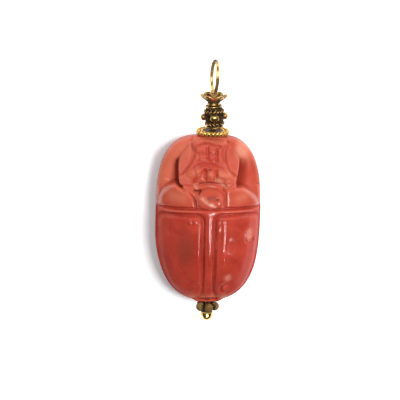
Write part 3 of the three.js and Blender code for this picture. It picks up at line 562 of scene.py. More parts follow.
def head_height(x, y):
    y_mark = DRAW_OUT_FROM + (y - DRAW_OUT_FROM) / DRAW_OUT
    height = HEAD_BACK_HEIGHT - HEAD_SLOPE * (y - HEAD_BACK_Y) - HEAD_CROWN * x * x
    height -= FACET_DEPTH * soft_step(FACET_START_Y, FACET_END_Y, y)
    beside = beside_cheek(x, y_mark)
    width = blend(*CHEEK_GROOVE_WIDTHS, soft_step(*CHEEK_WIDENS, y))
    height -= CHEEK_DEPTH * groove(beside, width)
    height -= CHEEK_DROP * soft_step(0, CHEEK_DROP_WIDTH, beside)
    height += brow_swell(x, y) + mounds(x, y, BROW_MOUNDS)
    for points, width, depth in HEAD_STROKES:
        height -= depth * groove(line_distance(x, y_mark, points), width)
    height -= HEAD_EDGE_SOFTENING * soft_step(HEAD_WALL, 0, inside_head(x, y)) ** 2
    return height


print(f"head: {len(HEAD_CORNERS)} corners, {len(HEAD_STROKES)} strokes, {len(BROW_MOUNDS)} brow knobs")

# %% [markdown]
# ## Legs and rim
# The front legs lie as a lower band around the head and are cut deepest where they run along its
# walls, which leaves a dark recess on each side. Behind the thorax the rim is a narrow ledge with
# one more line along it. At the tail a little arch is cut round the end of the hole.

# %% Front legs, rim and tail arch
WIDEST_HEIGHT = 3.1
BAND_HEIGHT_SIDE = 5.5
BAND_HEIGHT_FRONT = 6.0
LEFT_RECESS = [(0.9, 0.15, 0.5, 12.4, 11.2), (0.6, 0.3, 1.3, 13.5, 10.0)]
RIGHT_RECESS = [(1.4, 0.2, 1.05, 12.8, 9.5)]
BAND_FRONT = (9.5, 15)
BAND_ROUND_FROM = (0.72, 0.8)
BAND_FULLNESS = (2.2, 5.0)
RIM_LINE_REACH = 0.965
RIM_LINE_DEPTH = 0.1
RIM_LINE_WIDTH = 0.1
RIM_DROP = 0.9
ARCH_X = 0.1
ARCH_HALF_WIDTH = 2.15
ARCH_LENGTH = 1.25
ARCH_DEPTH = 0.3
ARCH_LINE_DEPTH = 0.12
ARCH_LINE_WIDTH = 0.12
ARCH_LINE_REACH = 1.15
TAIL_BOSS = 1.05
TAIL_BOSS_GONE = 3.4
TAIL_BOSS_FULL = 1.5
RIM_SLOPE = 0.3
RIM_SLOPE_FROM = 0.93
RIM_ROUND = 0.5


def recess(cuts, from_head, y):
    """Grooves beside the head, each with its depth, place, width, and where it starts and is full"""
    depth = 0
    for full_depth, place, width, start, full in cuts:
        depth += full_depth * groove(from_head - place, width) * soft_step(start, full, y)
    return depth


def recess_beside_head(x, y):
    """Deep and narrow on the left of the head, wide and shallower on its right"""
    from_head = np.maximum(-inside_head(x, y), 0)
    return np.where(x < 0, recess(LEFT_RECESS, from_head, y), recess(RIGHT_RECESS, from_head, y))


def leg_band_height(x, y):
    """Highest and squarest in front, lower and rounder along the sides"""
    front = soft_step(*BAND_FRONT, y)
    round_from = blend(*BAND_ROUND_FROM, front)
    fullness = blend(*BAND_FULLNESS, front)
    out = np.clip((outline_reach(x, y) - round_from) / (1 - round_from), 0, 1)
    top = blend(BAND_HEIGHT_SIDE, BAND_HEIGHT_FRONT, front)
    band = WIDEST_HEIGHT + (top - WIDEST_HEIGHT) * (1 - out**fullness) ** (1 / fullness)
    return band - recess_beside_head(x, y)


def rim_height(x, y):
    """A narrow ledge, thickened round the hole at the tail"""
    reach = outline_reach(x, y)
    at_tail = soft_step(TAIL_BOSS_GONE, TAIL_BOSS_FULL, np.abs(x - ARCH_X)) * (y < 0)
    rim = RIM_HEIGHT + TAIL_BOSS * at_tail - RIM_SLOPE * soft_step(RIM_SLOPE_FROM, 1, reach)
    over = np.clip(1 - (1 - reach) * HALF_WIDTH / RIM_ROUND, 0, 1)
    rim -= RIM_DROP * (1 - np.sqrt(1 - over**2)) * (1 - 0.75 * at_tail)
    return rim - RIM_LINE_DEPTH * groove((reach - RIM_LINE_REACH) * HALF_WIDTH, RIM_LINE_WIDTH)


def tail_arch(x, y):
    reach = np.hypot((x - ARCH_X) / ARCH_HALF_WIDTH, (y + HALF_LENGTH) / ARCH_LENGTH)
    beside = ARCH_LINE_DEPTH * groove(reach - ARCH_LINE_REACH, ARCH_LINE_WIDTH)
    return ARCH_DEPTH * soft_step(1.0, 0.75, reach) - beside


print(f"leg band {BAND_HEIGHT_SIDE} to {BAND_HEIGHT_FRONT} mm high, flank widest at {WIDEST_HEIGHT} mm")


# %% [markdown]
# ## Age and accidents
# Coral is a soft old skeleton: it has pits where worms bored, cream veins, a chip on the right wing
# case and a few knocks and scratches. They come last, as they did in life, and each is a groove or
# a dish at its own place. A slow waver over the whole surface keeps the polish from looking machined.

# %% Cracks, pits, chips and scratches
MARKS = [
    ([(2.1, 7.5), (2.54, 6.85)], 0.07, 0.12),
    ([(-2.9, 6.8), (-2.2, 6.75), (-1.75, 6.8)], 0.22, 0.38),
    ([(-1.75, 6.75), (-2.05, 6.1)], 0.16, 0.28),
    ([(1.3, 5.4), (1.6, 5.4)], 0.16, 0.3),
    ([(-5.9, 13.7), (-5.6, 13.4)], 0.07, 0.1),
    ([(-6.3, 12.9), (-5.9, 13.3)], 0.05, 0.08),
    ([(-8.1, 8.3), (-7.8, 7.8)], 0.1, 0.12),
    ([(3.5, -11.75), (2.55, -12.2), (2.3, -12.75), (2.55, -13.45), (3.6, -13.9)], 0.26, 0.34),
    ([(-1.9, -11.8), (-2.1, -13.2), (-3.0, -14.1), (-4.9, -13.9), (-6.3, -13.1)], 0.3, 0.16),
    ([(9.0, 7.1), (9.9, 6.7)], 0.16, 0.35),
    ([(-0.1, 10.75), (0.1, 10.75)], 0.14, 0.3),
]
CHIP = (7.75, -2.0)
CHIP_HALF = (0.62, 1.15)
CHIP_DEPTH = 0.3
HATCH_DEPTH = 0.18
HATCH_WIDTH = 0.22
CRACK_DEPTH = 0.16
CRACK_WIDTH = 0.16
CRACK_REACH = 1.45
HATCH_COUNT = 9
HATCH_FROM = math.radians(212)
HATCH_TO = math.radians(236)
WAVER = 0.02


def accidents(x, y):
    cut = np.zeros(np.shape(x))
    for points, width, depth in MARKS:
        cut += depth * groove(line_distance(x, y, points), width)
    chip = np.hypot((x - CHIP[0]) / CHIP_HALF[0], (y - CHIP[1]) / CHIP_HALF[1])
    cut += CHIP_DEPTH * np.sqrt(np.maximum(1 - chip**2, 0))
    lower_left = soft_step(0.6, -0.6, x - CHIP[0] + y - CHIP[1])
    cut += CRACK_DEPTH * groove(chip - CRACK_REACH, CRACK_WIDTH) * lower_left
    angle = np.mod(np.arctan2(y / HALF_LENGTH, x / HALF_WIDTH), 2 * math.pi)
    turn = (angle - HATCH_FROM) / (HATCH_TO - HATCH_FROM)
    near = np.abs(turn * HATCH_COUNT - np.round(turn * HATCH_COUNT))
    on_rim = soft_step(0.93, 0.97, outline_reach(x, y)) * (turn > 0) * (turn < 1)
    return cut + HATCH_DEPTH * groove(near, HATCH_WIDTH) * on_rim


def waver(x, y):
    slow = np.sin(0.9 * x + 1.3) * np.sin(0.7 * y + 0.4) + np.sin(1.7 * x - 0.8 * y + 2.0)
    quick = 0.5 * np.sin(2.9 * x + 1.1 * y) * np.sin(2.3 * y - 0.6 * x + 1.0)
    return WAVER * (0.6 * slow + quick)


print(f"{len(MARKS)} marks, one chip and {HATCH_COUNT} scratches on the rim")


# %% [markdown]
# ## One carved surface
# All of it is one solid, so all of it becomes one height for each place. The order is the carver's:
# dome and grooves, shield, legs and rim, then the lobes and the head standing up out of them. A
# plate with a steep wall is mixed in over a third of a millimetre, which keeps a crisp edge that
# still catches a thin line of light.

# %% The carved height of every point


def back_height(x, y):
    """Wing cases, shield and neck, before lobes and head are set on them"""
    height = wing_case_height(x, y)
    bar_top = bar_middle(x) + BAR_HALF_WIDTH
    height -= BAR_FRONT_DEPTH * groove(y - bar_top - BAR_FRONT_GAP, BAR_FRONT_WIDTH)
    shield = np.hypot(x / SHIELD_HALF_WIDTH, (y - SHIELD_MIDDLE_Y) / SHIELD_HALF_LENGTH)
    raised = blend(height, NECK_HEIGHT, soft_step(SHIELD_MIDDLE_Y, HEAD_BACK_Y, y))
    raised += SHIELD_SWELL * np.maximum(1 - shield**2.6, 0) ** 0.6
    raised -= SHIELD_GROOVE_DEPTH * soft_step(SHIELD_GROOVE_FROM, SHIELD_GROOVE_TO, shield)
    return np.where(y > bar_top, raised, height)


def carved_height(x, y):
    bar_top = bar_middle(x) + BAR_HALF_WIDTH
    back = back_height(x, y)
    legs = np.minimum(leg_band_height(x, y), np.maximum(back, RIM_HEIGHT))
    on_back = soft_step(5.3, 4.9, np.abs(x)) * soft_step(8.1, 7.9, y)
    height = np.where(y < bar_top, back, blend(legs, back, on_back))
    outside = soft_step(0.995, 1.005, dome_reach(x, y)) * (y < bar_top)
    height = blend(height, rim_height(x, y), outside)
    height += mounds(x, y, WING_MOUNDS) - tail_arch(x, y)
    height = blend(height, lobe_height(x, y), soft_step(-LOBE_WALL, 0, inside_lobe(x, y)))
    height = blend(height, head_height(x, y), soft_step(-HEAD_WALL, 0, inside_head(x, y)))
    return height - accidents(x, y) + waver(x, y)


probe_x = np.array([0.0, 5.0, 0.0, 8.5])
probe_y = np.array([0.0, -3.0, 12.0, 5.0])
print("heights at four places:", np.round(carved_height(probe_x, probe_y), 2), "mm")

# %% [markdown]
# ## From heights to a closed mesh
# A square grid is bent so that its border lies exactly on the oval outline. That way the rim has no
# stair steps, and the same border carries on down the side as rings of the wall. Only the outer part
# of the grid is bent, so the lines stay straight where the carving is.

# %% The bent grid
GRID_ACROSS = 200
GRID_ALONG = 330


def bend_to_oval(x, y):
    """Straight grid lines in the middle, bent so that the border lies on the outline"""
    square = np.maximum(np.maximum(np.abs(x / HALF_WIDTH), np.abs(y / HALF_LENGTH)), 1e-6)
    weight = soft_step(0.55, 0.93, square)
    factor = 1 + weight * (square / np.maximum(outline_reach(x, y), 1e-6) - 1)
    return x * factor, y * factor


print(f"grid of {GRID_ACROSS} x {GRID_ALONG} points")

# %% [markdown]
# ## Side wall and underside
# The side wall is stacked up from rings of points, each a little further in than the one above. It
# has the hind legs in low relief over a plain base, with a line between the two. Afterwards the whole
# beetle is swayed a trace, because the real one bulges a little to the left behind its middle.

# %% Rings of the wall and the whole mesh
BASE_HEIGHT = 1.2
BASE_INSET = 0.9
BASE_LINE_DEPTH = 0.25
LEG_RELIEF = 0.3
LEG_PITCH = 3.1
SWAY = 0.12
SWAY_Y = -4.5
SWAY_LENGTH = 4.5
WALL_LEVELS = [2.9, 2.65, 2.4, 2.15, 1.9, 1.65, 1.5, 1.35, 1.2, 1.05, 0.9, 0.6, 0.3, 0.12, 0.0]


def wall_inset(along, z):
    """How far the side wall stands back at a height: it draws in below the widest line, with the
    legs in low relief and a line round the base"""
    below = 1 - z / WIDEST_HEIGHT
    inset = np.full(np.shape(along), BASE_INSET * below**1.7)
    inset += BASE_LINE_DEPTH * groove(z - BASE_HEIGHT, 0.18)
    slant = np.abs(along + 2) - 0.9 * z
    between = groove(np.mod(slant + 100, LEG_PITCH) - LEG_PITCH / 2, 0.42)
    on_legs = soft_step(BASE_HEIGHT, BASE_HEIGHT + 0.4, z)
    on_legs *= soft_step(WIDEST_HEIGHT, WIDEST_HEIGHT - 0.5, z)
    return inset + LEG_RELIEF * between * on_legs


def swayed(places):
    """The whole beetle bulges a trace to the left behind its middle"""
    places[:, 0] -= SWAY * groove(places[:, 1] - SWAY_Y, SWAY_LENGTH)
    return places


def border_order(wide, long):
    """The grid's border points in turn, anticlockwise from above"""
    bottom = [(0, i) for i in range(wide - 1)]
    right = [(j, wide - 1) for j in range(long - 1)]
    top = [(long - 1, i) for i in range(wide - 1, 0, -1)]
    left = [(j, 0) for j in range(long - 1, 0, -1)]
    return np.array([j * wide + i for j, i in bottom + right + top + left])


def beetle_mesh():
    columns = np.linspace(-HALF_WIDTH, HALF_WIDTH, GRID_ACROSS)
    rows = np.linspace(-HALF_LENGTH, HALF_LENGTH, GRID_ALONG)
    x, y = bend_to_oval(*np.meshgrid(columns, rows))
    places = [np.stack([x, y, carved_height(x, y)], axis=2).reshape(-1, 3)]
    index = np.arange(GRID_ACROSS * GRID_ALONG).reshape(GRID_ALONG, GRID_ACROSS)
    corners = [index[:-1, :-1], index[:-1, 1:], index[1:, 1:], index[1:, :-1]]
    faces = np.stack([corner.ravel() for corner in corners], axis=1).tolist()
    ring = border_order(GRID_ACROSS, GRID_ALONG)
    border = places[0][ring]
    count = len(ring)
    start = len(places[0])
    for z in WALL_LEVELS:
        inset = wall_inset(border[:, 1], z)
        shrink_x = 1 - inset / HALF_WIDTH
        shrink_y = 1 - inset / HALF_LENGTH
        level = np.stack([border[:, 0] * shrink_x, border[:, 1] * shrink_y, np.full(count, z)], axis=1)
        places.append(level)
        below = np.arange(start, start + count)
        quads = np.stack([ring, below, np.roll(below, -1), np.roll(ring, -1)], axis=1)
        faces.extend(quads.tolist())
        ring = below
        start += count
    inner = places[-1] * np.array([0.95, 0.97, 1])
    places.append(inner)
    below = np.arange(start, start + count)
    faces.extend(np.stack([ring, below, np.roll(below, -1), np.roll(ring, -1)], axis=1).tolist())
    faces.append(below[::-1].tolist())
    return swayed(np.concatenate(places)), faces


def mesh_object(name, places, faces):
    """A smooth-shaded mesh object, still in millimetres"""
    mesh = bpy.data.meshes.new(name)
    mesh.from_pydata(np.asarray(places).tolist(), [], faces)
    mesh.validate()
    mesh.shade_smooth()
    piece = bpy.data.objects.new(name, mesh)
    bpy.context.collection.objects.link(piece)
    return piece


coral_beetle = mesh_object("coral_beetle", *beetle_mesh())
print(f"coral beetle: {len(coral_beetle.data.vertices)} points, {len(coral_beetle.data.polygons)} faces")

# %% [markdown]
# ## Drilling the hole
# The pin runs through the coral from tail to head. The real hole was drilled, so a round cutter is
# taken away from the mesh with a Boolean modifier. The hole leans a trace to one side, as the pin
# does, and every strung piece below uses this same leaning line.

# %% The pin's line and the drilled hole
AXIS_HEIGHT = 4.0
PIN_LEAN = math.radians(-1.05)
HOLE_RADIUS = 0.55
to_tail = Matrix.Translation((0, -HALF_LENGTH, AXIS_HEIGHT))
along_pin = to_tail @ Matrix.Rotation(PIN_LEAN, 4, "Z") @ Matrix.Translation((0, HALF_LENGTH, 0))
along_pin = along_pin @ Matrix.Rotation(-math.pi / 2, 4, "X")


def finished_mesh(piece):
    """The piece's mesh with its modifiers worked in"""
    depsgraph = bpy.context.evaluated_depsgraph_get()
    mesh = bpy.data.meshes.new_from_object(piece.evaluated_get(depsgraph))
    piece.modifiers.clear()
    piece.data = mesh


def drill(piece):
    bpy.ops.mesh.primitive_cylinder_add(vertices=48, radius=HOLE_RADIUS, depth=3 * HALF_LENGTH)
    cutter = bpy.context.object
    cutter.data.transform(along_pin)
    cut = piece.modifiers.new("hole", "BOOLEAN")
    cut.operation = "DIFFERENCE"
    cut.solver = "MANIFOLD"
    cut.object = cutter
    finished_mesh(piece)
    bpy.data.objects.remove(cutter)


drill(coral_beetle)
coral_beetle.data.shade_smooth()
print(f"drilled beetle: {len(coral_beetle.data.vertices)} points")

# %% [markdown]
# ## Where the colour changes
# Polished coral isn't one red. It is paler where the skeleton is thin, and creamy along veins and in open
# pits. Shade is painted in as well, deeper in the grooves and in the recess beside the head. Light is
# painted in as paler sheens: on raised edges, along the right wing case's outer edge, on the right leg
# band, and, mixed with paler coral, on the brow knobs, leg bands, lobes and the head's front. Each of these
# is stored on the mesh as its own number from 0 to 1, worked out from the place or from how hollow the
# carving is there. The material then only has to mix colours by them.

# %% Lines and patches of colour
PAINTED_LINES = {
    "cream": [
        ([(1.46, 8.85), (2.0, 8.5), (2.7, 7.65)], 0.34),
        ([(-1.5, 5.7), (-0.9, 5.1), (-0.1, 4.8), (0.5, 4.6)], 0.3),
        ([(-2.8, 7.75), (-2.45, 7.2)], 0.2),
        ([(-7.95, 8.15), (-7.7, 8.0)], 0.2),
        ([(-6.47, 11.5), (-6.4, 11.45)], 0.1),
        ([(6.3, 11.5), (6.32, 11.45)], 0.1),
    ],
    "rosy": [
        # A pale spot painted on the right wing case as the glint in a pit, then the pale inside of the chip
        ([(3.66, -10.4), (3.72, -10.3)], 0.55),
        ([(7.75, -2.5), (7.75, -1.4)], 0.5),
    ],
    # A sheen painted along the outer edge of the right wing case
    "bloom": [
        ([(9.2, 1.0), (8.9, -5.0), (6.6, -11.5)], 1.3),
    ],
    # Paler coral mixed with painted highlight, on the brow knobs, the leg bands, the lobes, the head's
    # front facet and the tail
    "peach": [
        ([(-3.6, 9.7), (-2.2, 10.1)], 0.7),
        ([(2.0, 9.9), (3.6, 9.5)], 0.8),
        ([(-0.3, 9.9), (0.6, 9.9)], 0.45),
        ([(-9.0, 8.0), (-7.6, 12.0), (-4.8, 14.6)], 1.9),
        ([(6.2, 14.0), (7.2, 12.5)], 1.1),
        ([(-7.0, 5.5), (-5.0, 5.5)], 1.2),
        ([(6.6, 5.6), (5.6, 5.2)], 1.0),
        ([(-2.8, 15.7), (2.8, 15.5)], 0.6),
        ([(-3.0, -15.0), (3.0, -15.0)], 0.9),
    ],
    "pit": [
        ([(-2.8, 6.8), (-2.2, 6.75), (-1.75, 6.8)], 0.15),
        ([(-1.75, 6.75), (-2.0, 6.3)], 0.12),
        ([(1.35, 5.4), (1.5, 5.4)], 0.16),
        ([(-0.05, 10.75), (0.05, 10.75)], 0.14),
        ([(-1.75, 8.14), (-0.25, 8.38), (1.2, 8.2)], 0.13),
    ],
    "stroke": [
        ([(-0.38, 12.5), (-0.38, 14.4)], 0.26),
        ([(1.34, 12.2), (1.37, 14.2)], 0.26),
        ([(-2.3, 13.4), (1.3, 13.45)], 0.24),
        ([(-2.36, 15.0), (-0.93, 15.35), (0.81, 15.1), (1.99, 14.6)], 0.32),
        ([(-2.6, 11.35), (-1.0, 11.7), (0.8, 11.5), (2.4, 10.9)], 0.4),
        ([(-0.92, 10.6), (-1.77, 9.93), (-2.63, 9.1), (-3.2, 8.4)], 0.4),
        ([(-0.83, 10.5), (-0.83, 9.0)], 0.3),
        ([(1.13, 10.5), (1.13, 9.0)], 0.3),
        ([(2.5, 6.5), (2.5, 4.8)], 0.4),
    ],
    "maroon": [
        ([(-0.2, 5.74), (0.9, 5.74)], 0.4),
        ([(8.35, -2.8), (8.45, -3.2)], 0.2),
        ([(-3.3, 14.9), (-2.95, 14.0)], 0.3),
        ([(-1.5, -15.7), (0.1, -15.1), (2.0, -15.8)], 0.16),
    ],
}
DARK_PATCH = (-4.5, -4.3, 2.2, 4.6)
# The patch where a soft highlight is painted on the right leg band
BAND_SHEEN_PATCH = (6.2, 14.2, 1.5, 2.2)
BAND_SHEEN_FULL = 0.3
BAND_SHEEN_GONE = 1.3
RUBBED_PATCH = (4.3, -3.9, 0.9, 1.7)
print({name: len(lines) for name, lines in PAINTED_LINES.items()})

# %% [markdown]
# ## Numbers on the mesh
# Every point of the mesh now gets its numbers. How hollow a place is comes from comparing its height
# with eight neighbours round it. The rest comes from the distance to a line or a patch. The flank has
# no lines on it and only gets a little shade.

# %% Paint the beetle with named numbers
HOLLOW_RADIUS = 0.45
HOLLOW_FULL = 0.42
PALE_FROM = (2.5, 4.5)
FACE_HALF_WIDTH = 2.6
FACE_FROM = (9, 11)
FACE_LESS_PALE = 0.7
RIGHT_LESS_PALE = 0.4
FLANK_SHADE = 0.6
LIGHT_HOLLOW = 0.1
DEEPEST_RECESS = 1.9


def hollowness(x, y):
    """Positive where the carving lies below its own neighbourhood"""
    around = np.zeros(np.shape(x))
    for angle in np.arange(0, 2 * math.pi, math.pi / 4):
        around += carved_height(x + HOLLOW_RADIUS * math.cos(angle), y + HOLLOW_RADIUS * math.sin(angle))
    return (around / 8 - carved_height(x, y)) / HOLLOW_FULL


def near_lines(x, y, lines):
    strength = np.zeros(np.shape(x))
    for points, width in lines:
        strength = np.maximum(strength, groove(line_distance(x, y, points), width))
    return strength


def paint_numbers(x, y, on_top):
    head_side = soft_step(*PALE_FROM, y)
    foot = soft_step(0.66, 0.9, dome_reach(x, y)) * soft_step(3.4, 2.4, y)
    off_lobes = soft_step(0, -0.4, inside_lobe(x, y))
    on_band = soft_step(0, -0.5, inside_head(x, y)) * off_lobes * soft_step(6, 7, y)
    rubbed = patch(x, y, RUBBED_PATCH, 0.6, 1.1)
    less_pale = RIGHT_LESS_PALE * soft_step(5.5, 7, x) * soft_step(7, 8, y)
    less_pale += FACE_LESS_PALE * groove(x, FACE_HALF_WIDTH) * soft_step(*FACE_FROM, y)
    hollow = np.clip(hollowness(x, y), -1, 1) * on_top
    beside = np.clip(recess_beside_head(x, y) / DEEPEST_RECESS, 0, 1)
    beside = beside * soft_step(0, -0.3, inside_head(x, y)) * off_lobes
    beside = beside * soft_step(6.2, 7.2, y) * soft_step(4.6, 5.4, np.abs(x))
    dark_patch = patch(x, y, DARK_PATCH)
    numbers = {
        "pale": head_side * (1 - less_pale),
        # A soft highlight painted on the right leg band
        "blush": patch(x, y, BAND_SHEEN_PATCH, BAND_SHEEN_FULL, BAND_SHEEN_GONE) * on_top,
        "shade": np.maximum(dark_patch * on_top, FLANK_SHADE * (1 - on_top)),
        # hollow is painted shade in the grooves, deep is painted shade in the recess beside the head, and
        # edge is painted highlight on raised places
        "hollow": np.clip(hollow - LIGHT_HOLLOW, 0, 1),
        "deep": beside * on_top,
        "edge": np.clip(-hollow - LIGHT_HOLLOW, 0, 1),
        "dull": np.maximum.reduce([foot, 0.75 * on_band, 0.95 * rubbed]),
    }
    for name, lines in PAINTED_LINES.items():
        numbers[name] = near_lines(x, y, lines) * on_top
    return numbers


def vertex_places(piece):
    places = np.empty(len(piece.data.vertices) * 3)
    piece.data.vertices.foreach_get("co", places)
    return places.reshape(-1, 3)


def store_numbers(piece, numbers):
    for name, values in numbers.items():
        layer = piece.data.attributes.new(name, "FLOAT", "POINT")
        layer.data.foreach_set("value", np.asarray(values, dtype=np.float32))


beetle_places = vertex_places(coral_beetle)
top_side = soft_step(3.0, 3.3, beetle_places[:, 2])
store_numbers(coral_beetle, paint_numbers(beetle_places[:, 0], beetle_places[:, 1], top_side))
print("painted numbers:", [layer.name for layer in coral_beetle.data.attributes if layer.domain == "POINT"])

# %% [markdown]
# ## Tools for materials
# Every material is a small net of nodes. A class holds the net together and has one short word for
# each kind of node: a painted number, a noise whose grain is given in millimetres, a change of range,
# a sum, a mix of two colours, and a bump. Noise reads the object's own coordinates, so it stays where
# it is on the piece.

# %% Material helpers


class Net:
    """A material with its nodes, links and main shader at hand"""

    def __init__(self, name):
        self.material = bpy.data.materials.new(name)
        self.material.use_nodes = True
        self.nodes = self.material.node_tree.nodes
        self.links = self.material.node_tree.links
        self.shader = self.nodes["Principled BSDF"]
        self.place = self.nodes.new("ShaderNodeTexCoord").outputs["Object"]

    def feed(self, socket, value):
        if isinstance(value, bpy.types.NodeSocket):
            self.links.new(value, socket)
        else:
            socket.default_value = value

    def number(self, name):
        node = self.nodes.new("ShaderNodeAttribute")
        node.attribute_name = name
        return node.outputs["Fac"]

    def noise(self, grain_mm, detail=3.0, distortion=0.0):
        node = self.nodes.new("ShaderNodeTexNoise")
        node.inputs["Scale"].default_value = 1 / (grain_mm * MM)
        node.inputs["Detail"].default_value = detail
        node.inputs["Distortion"].default_value = distortion
        self.links.new(self.place, node.inputs["Vector"])
        return node.outputs["Fac"]

    def remap(self, value, low, high, to_low=0.0, to_high=1.0):
        node = self.nodes.new("ShaderNodeMapRange")
        self.feed(node.inputs["Value"], value)
        node.inputs["From Min"].default_value = low
        node.inputs["From Max"].default_value = high
        node.inputs["To Min"].default_value = to_low
        node.inputs["To Max"].default_value = to_high
        return node.outputs["Result"]

    def maths(self, operation, first, second):
        node = self.nodes.new("ShaderNodeMath")
        node.operation = operation
        self.feed(node.inputs[0], first)
        self.feed(node.inputs[1], second)
        return node.outputs[0]

    def mix(self, factor, first, second):
        """Two colours mixed, all of the second where the factor is 1"""
        node = self.nodes.new("ShaderNodeMix")
        node.data_type = "RGBA"
        self.feed(node.inputs[0], factor)
        self.feed(node.inputs[6], first)
        self.feed(node.inputs[7], second)
        return node.outputs[2]

    def bump(self, height, depth_mm):
        node = self.nodes.new("ShaderNodeBump")
        node.inputs["Distance"].default_value = depth_mm * MM
        self.feed(node.inputs["Height"], height)
        self.links.new(node.outputs["Normal"], self.shader.inputs["Normal"])


def screen_colour(red, green, blue):
    """A colour as it looks on screen, 0 to 255, turned into the light values that nodes work with"""
    return tuple(((part / 255 + 0.055) / 1.055) ** 2.4 for part in (red, green, blue)) + (1,)


print("middle grey on screen is", round(screen_colour(128, 128, 128)[0], 3), "as light")


# %% [markdown]
# ## Coral
# Red coral takes a high polish, lets a little light in, and is clouded in soft patches and faint growth
# bands. The colour starts from two reds clouded together and is then changed in turn: paler towards the
# head, painted shade deeper in hollows and in the recess beside the head, painted highlight brighter on
# edges and in a few sheens, cream in veins. Each change is a row of one table: the painted number that says
# where, how much of the new colour, and the colour. Roughness rises in the hollows and at the dull foot of
# the dome, where no polisher reached, and a very fine bump breaks up the highlights.

# %% Coral material
CORAL_RED = screen_colour(180, 63, 48)
CORAL_DEEP = screen_colour(160, 50, 37)
CORAL_PALE = screen_colour(190, 84, 62)
CORAL_PEACH_AND_SHEEN = screen_colour(206, 112, 86)
CORAL_BAND_SHEEN = screen_colour(220, 148, 124)
CORAL_SHADE = screen_colour(116, 52, 42)
CORAL_RIM_SHEEN = screen_colour(204, 104, 98)
CORAL_HOLLOW = screen_colour(140, 26, 16)
CORAL_RECESS = screen_colour(84, 18, 12)
CORAL_MAROON = screen_colour(120, 30, 28)
CORAL_STROKE = screen_colour(168, 40, 24)
CORAL_EDGE = screen_colour(222, 112, 86)
CORAL_CREAM = screen_colour(214, 168, 138)
CORAL_ROSY = screen_colour(232, 168, 152)
CORAL_PIT = screen_colour(96, 38, 28)
# Of these tints, the peach one mixes paler coral with painted highlight, the band and rim ones are painted
# sheen, the edge one is painted highlight on raised places, and the hollow and deep ones are painted shade
# in grooves and beside the head
CORAL_TINTS = [
    ("peach", 0.65, CORAL_PEACH_AND_SHEEN), ("blush", 0.65, CORAL_BAND_SHEEN), ("bloom", 0.35, CORAL_RIM_SHEEN),
    ("shade", 0.5, CORAL_SHADE), ("edge", 0.35, CORAL_EDGE), ("hollow", 0.42, CORAL_HOLLOW),
    ("deep", 0.25, CORAL_RECESS), ("maroon", 0.7, CORAL_MAROON), ("stroke", 0.5, CORAL_STROKE),
]
PALE_SHARE = 0.68
FLECK_SHARE = 0.18
POLISHED = (0.07, 0.14)
HOLLOW_ROUGHNESS = 0.25
CREAM_ROUGHNESS = 0.3
DULL_ROUGHNESS = 0.3
SHINE = 0.36
DULL_SHINE = 0.02
CORAL_IOR = 1.5
GLOW_WEIGHT = 0.18
GLOW_REACH = 1.2
GLOW_RADIUS = (1.0, 0.25, 0.15)
SKIN_GRAIN = 0.28
SKIN_DEPTH = 0.003


def coral_material():
    net = Net("polished_red_coral")
    cloud = net.remap(net.noise(4.5, 4, 0.6), 0.35, 0.65)
    fleck = net.remap(net.noise(0.8, 3, 0.4), 0.45, 0.75)
    colour = net.mix(cloud, CORAL_DEEP, CORAL_RED)
    colour = net.mix(net.maths("MULTIPLY", net.number("pale"), PALE_SHARE), colour, CORAL_PALE)
    colour = net.mix(net.maths("MULTIPLY", fleck, FLECK_SHARE), colour, CORAL_PALE)
    for name, share, tint in CORAL_TINTS:
        colour = net.mix(net.maths("MULTIPLY", net.number(name), share), colour, tint)
    worn = net.remap(net.noise(0.35, 4, 0.5), 0.3, 0.6, 0.05, 0.6)
    cream = net.maths("MULTIPLY", net.number("cream"), worn)
    colour = net.mix(cream, colour, CORAL_CREAM)
    rosy = net.maths("MULTIPLY", net.number("rosy"), net.remap(fleck, 0, 1, 0.35, 0.8))
    colour = net.mix(rosy, colour, CORAL_ROSY)
    colour = net.mix(net.number("pit"), colour, CORAL_PIT)
    net.feed(net.shader.inputs["Base Color"], colour)
    dull = net.number("dull")
    rough = net.remap(net.noise(1.6, 5, 1.0), 0.3, 0.7, *POLISHED)
    rougher = (net.number("hollow"), HOLLOW_ROUGHNESS), (cream, CREAM_ROUGHNESS), (dull, DULL_ROUGHNESS)
    for place, more in rougher:
        rough = net.maths("ADD", rough, net.maths("MULTIPLY", place, more))
    net.feed(net.shader.inputs["Roughness"], rough)
    net.feed(net.shader.inputs["Specular IOR Level"], net.remap(dull, 0, 1, SHINE, DULL_SHINE))
    net.shader.inputs["IOR"].default_value = CORAL_IOR
    net.shader.inputs["Subsurface Weight"].default_value = GLOW_WEIGHT
    net.shader.inputs["Subsurface Radius"].default_value = GLOW_RADIUS
    net.shader.inputs["Subsurface Scale"].default_value = GLOW_REACH * MM
    net.bump(net.noise(SKIN_GRAIN, 5, 0.3), SKIN_DEPTH)
    return net.material


coral_finish = coral_material()
print("coral material:", len(coral_finish.node_tree.nodes), "nodes")

# %% [markdown]
# ## Setting a piece in its place
# A finished piece leaves the carver's millimetres for the model's metres. It then gets its finish, is hung
# on the body it moves with, and the solid it stands for is hidden. One function does all of that, so no
# piece can miss a step.

# %% Place and hand over a piece


def hand_over(piece, node, finish, place=Matrix.Identity(4)):
    to_model = Matrix.Translation((0, BEETLE_Y * MM, 0)) @ Matrix.Scale(MM, 4)
    piece.data.transform(to_model @ place)
    piece.data.materials.clear()
    piece.data.materials.append(finish)
    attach(piece, "root")
    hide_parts(node)
    size = np.ptp(vertex_places(piece), axis=0) / MM
    print(f"{piece.name}: {np.round(size, 2)} mm, {len(piece.data.polygons)} faces")


hand_over(coral_beetle, "scarab", coral_finish)

# %% [markdown]
# ## Goldsmith's tools
# The findings are made the way a goldsmith makes them: wire bent into rings and loops, granules
# melted round, and a turned body, all soldered into one. So there is a function for wire along a
# path, one for a granule and one for a turned shape. Soldering is a voxel remesh: it melts the parts
# into one skin and leaves a little fillet in each joint, just as solder does.

# %% Wire, granules, turned shapes and solder


